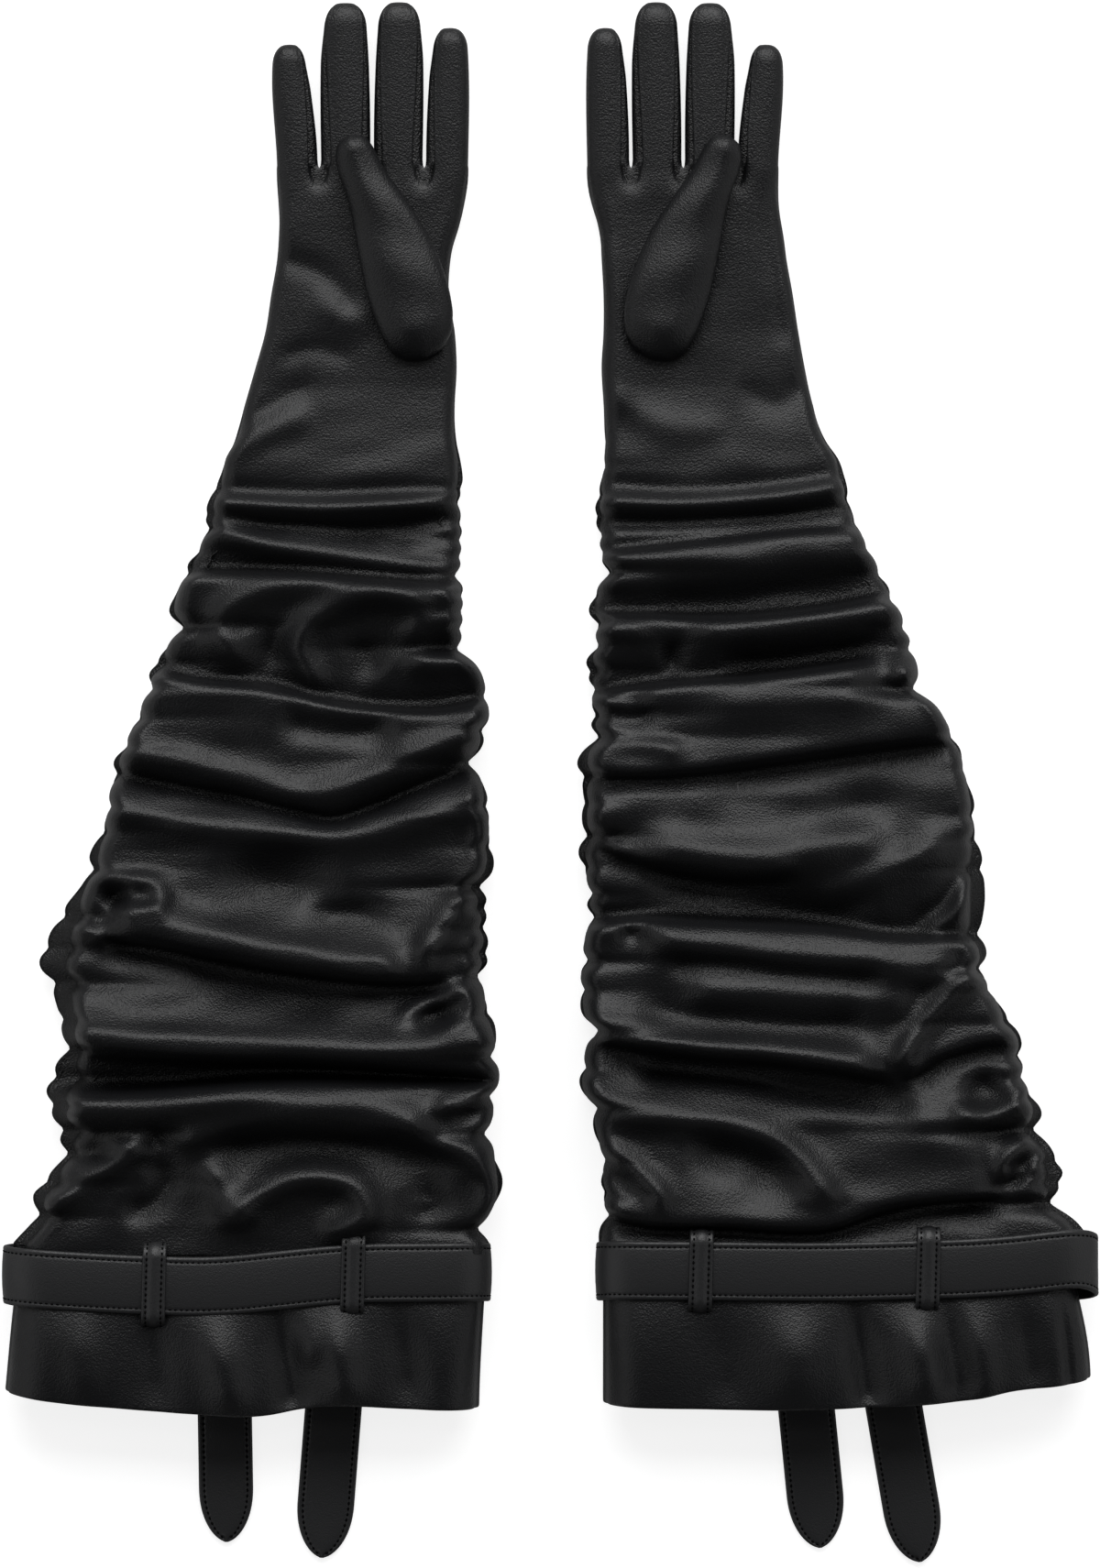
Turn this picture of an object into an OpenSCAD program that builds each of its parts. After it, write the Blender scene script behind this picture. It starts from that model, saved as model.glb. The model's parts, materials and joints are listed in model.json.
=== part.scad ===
/* [Leather] */
// Thickness of the leather in the hand, fingers and thumb
skin_t = 1.2; // [0.8:0.1:1.6]
// Thickness of a gathered sleeve panel, its folds pressed together
gather_t = 1.6; // [1.2:0.1:2]
// Thickness of the cuff leather
cuff_t = 1.6; // [1:0.1:2]

/* [Hand] */
// Height of the hand and fingers above the table
hand_h = 16.2; // [14:0.1:18]
// Y of the fold at the wrist
wrist_y = 198; // [190:1:202]
// Y of the crotches between the fingers
crotch_y = 308; // [300:1:312]

/* [Thumb] */
// Length of the thumb between the middles of its two round ends
thumb_l = 88; // [75:1:90]
// Radius of the thumb's base in plan
thumb_base_r = 20; // [16:0.5:20]
// Radius of the thumb's tip in plan
thumb_tip_r = 11; // [9:0.5:12]
// Height of the thumb
thumb_h = 14; // [10:0.5:16]
// Angle by which the thumb leans over the palm
thumb_lean = 18.5; // [12:0.5:20]

/* [Sleeve] */
// Y where the gathered sleeve meets the cuff
sleeve_end_y = -222; // [-224:1:-216]
// Y of the hem
hem_y = -312; // [-320:1:-306]
// Depth of the turned-in hem facing
facing_d = 37; // [25:1:45]
// Width of the elastic tape along each side seam
elastic_w = 6; // [4:1:6]

/* [Belt] */
// Width of the belt
belt_w = 30; // [28:1:30]
// Thickness of the belt
belt_t = 2.6; // [2:0.1:2.6]
// Width of the belt's hanging tails
tail_w = 28; // [24:1:28]
// Width of a belt loop
loop_w = 12; // [8:1:16]
// Thickness of a belt loop
loop_t = 1.6; // [1:0.1:1.8]

/* [Hidden] */
$fn = 48;
RIGHT = 0;
LEFT = 1;
leather_black = [0.10, 0.10, 0.11];
belt_black = [0.13, 0.13, 0.14];
backing_black = [0.07, 0.07, 0.075];
elastic_grey = [0.2, 0.2, 0.21];

// Half of the gap that lets two bodies fold on each other
fold_gap = 0.2;
// Gap between solids that lie on each other without touching
lay_gap = 0.3;
// Gap between the cuff and its turned-in hem facing
facing_gap = 1;

// X of the middle of each hand, the right glove first
hand_x = [-89.5, 67];
// How far each thumb's base stands from the middle of its hand
thumb_u = [21, 10];
thumb_y = 230;
thumb_z = hand_h + 0.6;

// A finger: its offset from the middle of the hand towards the thumb side, its width, the Y of its fold, the Y of its tip
index_f = [38, 21, 342, 379];
middle_f = [12.8, 24.6, 347, 392];
ring_f = [-12.8, 24.6, 346, 390];
little_f = [-38, 20, 336, 367];
fingers = [index_f, middle_f, ring_f, little_f];

// Edges of the palm: offset on the little finger's side, Y, offset on the thumb side
palm_edge = [[-60, wrist_y, 41], [-50, 254, 39], [-48, crotch_y, 48]];

// Underside and top of the cuff where the belt goes round it
cuff_under = 11.5;
cuff_top = 38;
// Sleeve sections of each glove: Y, lowest X, highest X, underside, top
sleeve_sections = [
    [[wrist_y - fold_gap, -149, -48, 0, hand_h], [130, -176, -41, 0, 28], [60, -200, -37, 0, 40],
     [-45, -231, -33, 0, 43], [-150, -254, -30, 0, 46], [sleeve_end_y, -263, -33, cuff_under, cuff_top]],
    [[wrist_y - fold_gap, 26, 129, 0, hand_h], [130, 24, 158, 0, 28], [60, 20, 188, 0, 40],
     [-45, 17, 214, 0, 43], [-150, 19, 240, 0, 46], [sleeve_end_y, 28, 259, cuff_under, cuff_top]]
];
// The smooth forearm is the first sections and the gathered sleeve the rest
forearm_last = 2;
// Cuff sections, in the same form
cuff_sections = [
    [[sleeve_end_y, -263, -33, cuff_under, cuff_top], [-270, -266, -34, cuff_under, cuff_top],
     [hem_y, -272, -37, 3, 34]],
    [[sleeve_end_y, 28, 259, cuff_under, cuff_top], [-270, 28, 265, cuff_under, cuff_top],
     [hem_y, 28, 270, 3, 34]]
];
elastic_top_y = 165;

// The belt's middle line, its two ends in X on each glove, and where it is knotted
belt_y = -247;
belt_x = [[-274, -29.5], [23, 274]];
belt_under = 5.3;
belt_top = cuff_top + lay_gap + belt_t + 0.2;
knot_x = [-134.5, 141.5];
knot_w = 68;
knot_wall = 7;
tail_top_y = -236;
tail_pivot_y = -243;
// Each tail: its middle's X at the knot, its lean from straight down, its tip's Y
inner_tail = [[-103.5, -4.8, -392], [122, 6, -387]];
outer_tail = [[-165.4, 1, -384], [161, 10, -394]];
tail_point_l = 34;
tail_tip_r = 5.5;

// Middles of the belt loops on the palm side and on the back of each glove
loop_front_x = [[-197, -98], [75, 188]];
loop_back_x = [[-222, -72], [66, 222]];
loop_foot = 2.5;

// ---- Lofted panels of the sleeve and cuff ----

// Width of the sloping flank between a side seam and the flat middle of a panel
function flank(x0, x1) = min(25, 0.17 * (x1 - x0));

// Four corners of a panel's line across a section, set in by d; up is 1 for the top panel, -1 for the underside
function panel_line(s, up, d) =
    let (x0 = s[1], x1 = s[2], f = flank(x0, x1), seam = (s[3] + s[4]) / 2, face = up > 0 ? s[4] : s[3])
    [[x0 + d, s[0], seam], [x0 + f, s[0], face - up * d],
     [x1 - f, s[0], face - up * d], [x1 - d, s[0], seam]];

// One ring of the panel's solid: its outer line and back along its inner line
function panel_ring(s, up, outer, t) =
    let (a = panel_line(s, up, outer), b = panel_line(s, up, outer + t))
    concat(a, [b[3], b[2], b[1], b[0]]);

// Joins rings of equal count into one closed solid
module loft(rings) {
    n = len(rings[0]);
    m = len(rings);
    sides = [for (i = [0 : m - 2], j = [0 : n - 1], half = [0, 1])
        let (a = i * n + j, b = i * n + (j + 1) % n)
        half == 0 ? [a, b, b + n] : [a, b + n, a + n]];
    // a ring folds back on itself, so each end closes with strips between its two sides
    first = [for (j = [0 : n / 2 - 2]) [n - 1 - j, n - 2 - j, j + 1, j]];
    last = [for (f = first) [for (k = [3 : -1 : 0]) (m - 1) * n + f[k]]];
    polyhedron(points = [for (r = rings) each r], faces = concat(sides, first, last), convexity = 6);
}

module panel(sections, up, t, outer = 0) {
    rings = [for (s = sections) panel_ring(s, up, outer, t)];
    loft(up > 0 ? rings : [for (r = rings) [for (j = [len(r) - 1 : -1 : 0]) r[j]]]);
}

// Sections of one glove's forearm, and of its gathered sleeve
function forearm_part(g) = [for (i = [0 : forearm_last]) sleeve_sections[g][i]];
function sleeve_part(g) = [for (i = [forearm_last : len(sleeve_sections[g]) - 1]) sleeve_sections[g][i]];

module forearm_front(g) color(leather_black) panel(forearm_part(g), 1, gather_t);
module forearm_back(g) color(leather_black) panel(forearm_part(g), -1, gather_t);
module sleeve_front(g) color(leather_black) panel(sleeve_part(g), 1, gather_t);
module sleeve_back(g) color(leather_black) panel(sleeve_part(g), -1, gather_t);
module cuff_front(g) color(leather_black) panel(cuff_sections[g], 1, cuff_t);
module cuff_back(g) color(leather_black) panel(cuff_sections[g], -1, cuff_t);

// The section of a loft at a given Y, between the two sections around it
function section_at(sections, y) =
    [y, for (k = [1 : 4]) lookup(-y, [for (s = sections) [-s[0], s[k]]])];

module hem_facing(g) {
    band = [section_at(cuff_sections[g], hem_y + facing_d), section_at(cuff_sections[g], hem_y)];
    color(backing_black) for (up = [-1, 1]) panel(band, up, skin_t, cuff_t + facing_gap);
}

// One elastic tape inside a side seam; side is 1 at the low X edge and -1 at the high X edge
module elastic(g, side) {
    inset = 9.5;
    stops = [elastic_top_y, 130, 60, -45, -150, -214];
    rings = [for (y = stops)
        let (s = section_at(sleeve_sections[g], y), x = (side > 0 ? s[1] : s[2]) + side * inset,
             z = (s[3] + s[4]) / 2, h = elastic_w / 2)
        [[x, y, z - h], [x, y, z + h], [x + 1, y, z + h], [x + 1, y, z - h]]];
    loft(rings);
}

module side_elastics(g) color(elastic_grey) for (side = [-1, 1]) elastic(g, side);

// ---- Hand: everything here is drawn with the thumb on the +X side ----

module on_hand(g) {
    translate([hand_x[g], 0, 0])
        if (g == RIGHT) children();
        else mirror([1, 0, 0]) children();
}

// The flat cut of the palm with its four finger stems, up to each finger's fold
module trank_plan() {
    polygon([
        [palm_edge[0][0], palm_edge[0][1] + fold_gap], [palm_edge[0][2], palm_edge[0][1] + fold_gap],
        [palm_edge[1][2], palm_edge[1][1]], [palm_edge[2][2], palm_edge[2][1]],
        [palm_edge[2][0], palm_edge[2][1]], [palm_edge[1][0], palm_edge[1][1]]
    ]);
    for (f = fingers)
        translate([f[0] - f[1] / 2, crotch_y - 4])
            square([f[1], f[2] - fold_gap - crotch_y + 4]);
}

// The turned edges of the hand along both outer sides
module side_wall_plan() {
    little_edge = little_f[0] - little_f[1] / 2;
    index_edge = index_f[0] + index_f[1] / 2;
    low = wrist_y + fold_gap;
    polygon([
        [palm_edge[0][0], low], [palm_edge[1][0], palm_edge[1][1]], [little_edge, crotch_y],
        [little_edge, little_f[2] - fold_gap], [little_edge + skin_t, little_f[2] - fold_gap],
        [little_edge + skin_t, crotch_y], [palm_edge[1][0] + skin_t, palm_edge[1][1]],
        [palm_edge[0][0] + skin_t, low]
    ]);
    polygon([
        [palm_edge[0][2], low], [palm_edge[1][2], palm_edge[1][1]], [index_edge, crotch_y],
        [index_edge, index_f[2] - fold_gap], [index_edge - skin_t, index_f[2] - fold_gap],
        [index_edge - skin_t, crotch_y], [palm_edge[1][2] - skin_t, palm_edge[1][1]],
        [palm_edge[0][2] - skin_t, low]
    ]);
}

// The hole under the thumb's base
module thumb_hole_plan() {
    hole_r = 8;
    translate([0, thumb_y]) rotate(thumb_lean) {
        translate([-hole_r, -4]) square([2 * hole_r, 12]);
        translate([0, -4]) circle(hole_r);
        translate([0, 8]) circle(hole_r);
    }
}

module palm_front(g) color(leather_black) on_hand(g) {
    difference() {
        translate([0, 0, hand_h - skin_t]) linear_extrude(skin_t) trank_plan();
        translate([thumb_u[g], 0, hand_h - 3]) linear_extrude(6) thumb_hole_plan();
    }
    translate([0, 0, hand_h / 2]) linear_extrude(hand_h / 2 - skin_t) side_wall_plan();
}

module hand_back(g) color(leather_black) on_hand(g) {
    linear_extrude(skin_t) trank_plan();
    translate([0, 0, skin_t]) linear_extrude(hand_h / 2 - skin_t) side_wall_plan();
}

// The forked strip between two neighbouring fingers; a is the one nearer the thumb
module fourchette(g, a, b) {
    a_edge = a[0] - a[1] / 2;
    b_edge = b[0] + b[1] / 2;
    color(leather_black) on_hand(g) translate([0, 0, skin_t]) linear_extrude(hand_h - 2 * skin_t) {
        translate([b_edge - skin_t, crotch_y - skin_t])
            square([a_edge - b_edge + 2 * skin_t, skin_t]);
        translate([a_edge, crotch_y - skin_t]) square([skin_t, a[2] - fold_gap - crotch_y + skin_t]);
        translate([b_edge - skin_t, crotch_y - skin_t])
            square([skin_t, b[2] - fold_gap - crotch_y + skin_t]);
    }
}

// The three forked strips of one hand, each a piece of its own
module fourchettes(g) {
    fourchette(g, index_f, middle_f);
    fourchette(g, middle_f, ring_f);
    fourchette(g, ring_f, little_f);
}

// Plan of a fingertip beyond its fold, set in by d
module tip_plan(f, d = 0) {
    r = f[1] / 2 - d;
    start = f[2] + fold_gap;
    translate([f[0] - r, start]) square([2 * r, f[3] - f[1] / 2 - start]);
    translate([f[0], f[3] - f[1] / 2]) circle(r);
}

module tip_front(g, f) color(leather_black) on_hand(g)
    translate([0, 0, hand_h - skin_t]) linear_extrude(skin_t) tip_plan(f);

module tip_back(g, f) color(leather_black) on_hand(g) linear_extrude(skin_t) tip_plan(f);

module tip_fourchettes(g, f) color(leather_black) on_hand(g)
    translate([0, 0, skin_t]) linear_extrude(hand_h - 2 * skin_t) difference() {
        tip_plan(f);
        tip_plan(f, skin_t);
        translate([f[0] - f[1] / 2 + skin_t, f[2] - 2]) square([f[1] - 2 * skin_t, 4]);
    }

// ---- Thumb ----

// Plan of the thumb about the middle of its base, set in by d
module thumb_plan(d = 0) {
    rb = thumb_base_r - d;
    rt = thumb_tip_r - d;
    // the flanks touch both circles, at this angle off the thumb's line
    a = asin((rb - rt) / thumb_l);
    circle(rb);
    translate([0, thumb_l]) circle(rt);
    polygon([
        [rb * cos(a), rb * sin(a)], [rt * cos(a), thumb_l + rt * sin(a)],
        [-rt * cos(a), thumb_l + rt * sin(a)], [-rb * cos(a), rb * sin(a)]
    ]);
}

module on_thumb(g) on_hand(g) translate([thumb_u[g], thumb_y, thumb_z]) rotate([0, 0, thumb_lean]) children();

// The upper half: its face and the wall that is sewn down round the base and the sides
module thumb_front(g) color(leather_black) on_thumb(g) {
    translate([0, 0, thumb_h - skin_t]) linear_extrude(skin_t) thumb_plan();
    translate([0, 0, skin_t]) linear_extrude(thumb_h - 2 * skin_t) difference() {
        thumb_plan();
        thumb_plan(skin_t);
    }
}

// The underside, open over the hole in the palm
module thumb_back(g) color(leather_black) on_thumb(g) {
    open_to = 20;
    linear_extrude(skin_t) difference() {
        thumb_plan();
        translate([-thumb_base_r - 1, -thumb_base_r - 1])
            square([2 * thumb_base_r + 2, thumb_base_r + 1 + open_to]);
    }
}

// ---- Belt ----

// The upright outline of the belt round the cuff, set in by d
module belt_outline(g, d = 0) {
    r = (belt_top - belt_under) / 2 - d;
    x0 = belt_x[g][0] + d;
    x1 = belt_x[g][1] - d;
    translate([x0 + r, belt_under + d]) square([x1 - x0 - 2 * r, 2 * r]);
    for (x = [x0 + r, x1 - r]) translate([x, belt_under + d + r]) circle(r);
}

module belt(g) color(belt_black)
    translate([0, belt_y + belt_w / 2, 0]) rotate([90, 0, 0]) linear_extrude(belt_w) difference() {
        belt_outline(g);
        belt_outline(g, belt_t);
    }

// The wrap of the half knot round the belt on the back of the cuff
module belt_knot(g) {
    low = tail_t() + lay_gap;
    color(belt_black) translate([knot_x[g] - knot_w / 2, 0, 0]) difference() {
        translate([0, belt_y - belt_w / 2 - knot_wall, low])
            cube([knot_w, belt_w + 2 * knot_wall, cuff_under - lay_gap - low]);
        translate([-1, belt_y - belt_w / 2 - lay_gap, belt_under - lay_gap])
            cube([knot_w + 2, belt_w + 2 * lay_gap, belt_t + 2 * lay_gap]);
    }
}

function tail_t() = 2.4;

// A hanging tail, drawn straight down from its pivot and tapering to a round point
module tail(t) {
    length = (tail_pivot_y - t[2]) / cos(t[1]);
    color(belt_black) translate([t[0], tail_pivot_y, 0]) rotate([0, 0, t[1]]) linear_extrude(tail_t()) {
        translate([-tail_w / 2, -length + tail_point_l])
            square([tail_w, length - tail_point_l + tail_top_y - tail_pivot_y]);
        polygon([
            [-tail_w / 2, -length + tail_point_l], [-tail_w * 0.39, -length + tail_point_l * 0.5],
            [-tail_tip_r * 0.9, -length + tail_tip_r * 0.6], [tail_tip_r * 0.9, -length + tail_tip_r * 0.6],
            [tail_w * 0.39, -length + tail_point_l * 0.5], [tail_w / 2, -length + tail_point_l]
        ]);
        translate([0, -length + tail_tip_r]) circle(tail_tip_r);
    }
}

// One belt loop: a strap over the belt with a sewn foot above and below it
module belt_loop(x, foot_z, strap_z) {
    low = min(foot_z, strap_z);
    high = max(foot_z, strap_z);
    inner_y = belt_y - belt_w / 2 - 3.5;
    span = belt_w + 7;
    translate([x - loop_w / 2, inner_y - loop_foot, low]) difference() {
        cube([loop_w, span + 2 * loop_foot, high - low]);
        translate([-1, loop_foot, strap_z > foot_z ? -1 : loop_t])
            cube([loop_w + 2, span, high - low - loop_t + 1]);
    }
}

module belt_loops(g) color(belt_black) {
    for (x = loop_front_x[g]) belt_loop(x, cuff_top, belt_top + lay_gap + loop_t);
    for (x = loop_back_x[g]) belt_loop(x, cuff_under, belt_under - lay_gap - loop_t);
}

forearm_front(RIGHT);  // right_forearm_front
forearm_back(RIGHT);  // right_forearm_back
sleeve_front(RIGHT);  // right_sleeve_front
sleeve_back(RIGHT);  // right_sleeve_back
cuff_front(RIGHT);  // right_cuff_front
cuff_back(RIGHT);  // right_cuff_back
hem_facing(RIGHT);  // right_hem_facing
side_elastics(RIGHT);  // right_side_elastics
belt(RIGHT);  // right_belt
belt_knot(RIGHT);  // right_belt_knot
belt_loops(RIGHT);  // right_belt_loops
palm_front(RIGHT);  // right_palm_front
hand_back(RIGHT);  // right_hand_back
fourchettes(RIGHT);  // right_fourchettes
tip_front(RIGHT, index_f);  // right_index_tip_front
tip_back(RIGHT, index_f);  // right_index_tip_back
tip_fourchettes(RIGHT, index_f);  // right_index_tip_fourchettes
tip_front(RIGHT, middle_f);  // right_middle_tip_front
tip_back(RIGHT, middle_f);  // right_middle_tip_back
tip_fourchettes(RIGHT, middle_f);  // right_middle_tip_fourchettes
tip_front(RIGHT, ring_f);  // right_ring_tip_front
tip_back(RIGHT, ring_f);  // right_ring_tip_back
tip_fourchettes(RIGHT, ring_f);  // right_ring_tip_fourchettes
tip_front(RIGHT, little_f);  // right_little_tip_front
tip_back(RIGHT, little_f);  // right_little_tip_back
tip_fourchettes(RIGHT, little_f);  // right_little_tip_fourchettes
thumb_front(RIGHT);  // right_thumb_front
thumb_back(RIGHT);  // right_thumb_back
tail(inner_tail[RIGHT]);  // right_belt_tail_inner
tail(outer_tail[RIGHT]);  // right_belt_tail_outer
forearm_front(LEFT);  // left_forearm_front
forearm_back(LEFT);  // left_forearm_back
sleeve_front(LEFT);  // left_sleeve_front
sleeve_back(LEFT);  // left_sleeve_back
cuff_front(LEFT);  // left_cuff_front
cuff_back(LEFT);  // left_cuff_back
hem_facing(LEFT);  // left_hem_facing
side_elastics(LEFT);  // left_side_elastics
belt(LEFT);  // left_belt
belt_knot(LEFT);  // left_belt_knot
belt_loops(LEFT);  // left_belt_loops
palm_front(LEFT);  // left_palm_front
hand_back(LEFT);  // left_hand_back
fourchettes(LEFT);  // left_fourchettes
tip_front(LEFT, index_f);  // left_index_tip_front
tip_back(LEFT, index_f);  // left_index_tip_back
tip_fourchettes(LEFT, index_f);  // left_index_tip_fourchettes
tip_front(LEFT, middle_f);  // left_middle_tip_front
tip_back(LEFT, middle_f);  // left_middle_tip_back
tip_fourchettes(LEFT, middle_f);  // left_middle_tip_fourchettes
tip_front(LEFT, ring_f);  // left_ring_tip_front
tip_back(LEFT, ring_f);  // left_ring_tip_back
tip_fourchettes(LEFT, ring_f);  // left_ring_tip_fourchettes
tip_front(LEFT, little_f);  // left_little_tip_front
tip_back(LEFT, little_f);  // left_little_tip_back
tip_fourchettes(LEFT, little_f);  // left_little_tip_fourchettes
thumb_front(LEFT);  // left_thumb_front
thumb_back(LEFT);  // left_thumb_back
tail(inner_tail[LEFT]);  // left_belt_tail_inner
tail(outer_tail[LEFT]);  // left_belt_tail_outer
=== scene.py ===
"""A pair of long gathered gloves with belted cuffs, laid out piece by piece on the fixed frame."""
import json
import math

import bpy
import numpy as np
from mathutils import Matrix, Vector


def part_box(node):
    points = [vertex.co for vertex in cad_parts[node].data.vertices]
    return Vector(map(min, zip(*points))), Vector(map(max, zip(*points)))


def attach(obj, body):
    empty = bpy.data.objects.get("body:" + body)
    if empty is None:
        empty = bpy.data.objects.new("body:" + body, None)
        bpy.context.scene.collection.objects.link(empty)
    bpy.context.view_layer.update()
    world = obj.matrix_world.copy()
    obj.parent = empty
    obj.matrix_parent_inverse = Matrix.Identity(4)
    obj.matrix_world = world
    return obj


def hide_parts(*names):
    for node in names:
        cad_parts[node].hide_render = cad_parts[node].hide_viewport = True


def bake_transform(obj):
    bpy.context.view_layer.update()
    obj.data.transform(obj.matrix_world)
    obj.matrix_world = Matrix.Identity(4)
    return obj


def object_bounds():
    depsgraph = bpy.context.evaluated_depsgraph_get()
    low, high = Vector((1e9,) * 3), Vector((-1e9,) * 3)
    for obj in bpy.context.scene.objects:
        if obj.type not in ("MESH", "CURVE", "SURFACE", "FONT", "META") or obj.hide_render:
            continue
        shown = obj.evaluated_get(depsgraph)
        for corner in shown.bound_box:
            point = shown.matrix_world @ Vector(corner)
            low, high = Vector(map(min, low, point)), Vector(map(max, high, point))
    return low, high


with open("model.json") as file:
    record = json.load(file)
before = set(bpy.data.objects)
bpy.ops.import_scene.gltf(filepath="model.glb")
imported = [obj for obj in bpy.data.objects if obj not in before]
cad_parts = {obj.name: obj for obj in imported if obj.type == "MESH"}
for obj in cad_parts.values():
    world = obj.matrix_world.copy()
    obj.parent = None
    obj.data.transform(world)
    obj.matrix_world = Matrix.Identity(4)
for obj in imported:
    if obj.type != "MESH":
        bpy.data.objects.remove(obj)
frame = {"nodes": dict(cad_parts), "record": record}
CAD_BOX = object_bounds()

bl_info = {
    "name": "Opera gloves",
    "version": (1, 0, 0),
    "blender": (4, 5, 0),
    "location": "3D View > Sidebar > Gloves",
    "description": "Builds a pair of gathered leather opera gloves with belted cuffs",
    "category": "Object",
}

SIDES = ("right", "left")
SIGN = {"right": 1, "left": -1}
FINGERS = ("index", "middle", "ring", "little")
MM = 0.001

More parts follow.
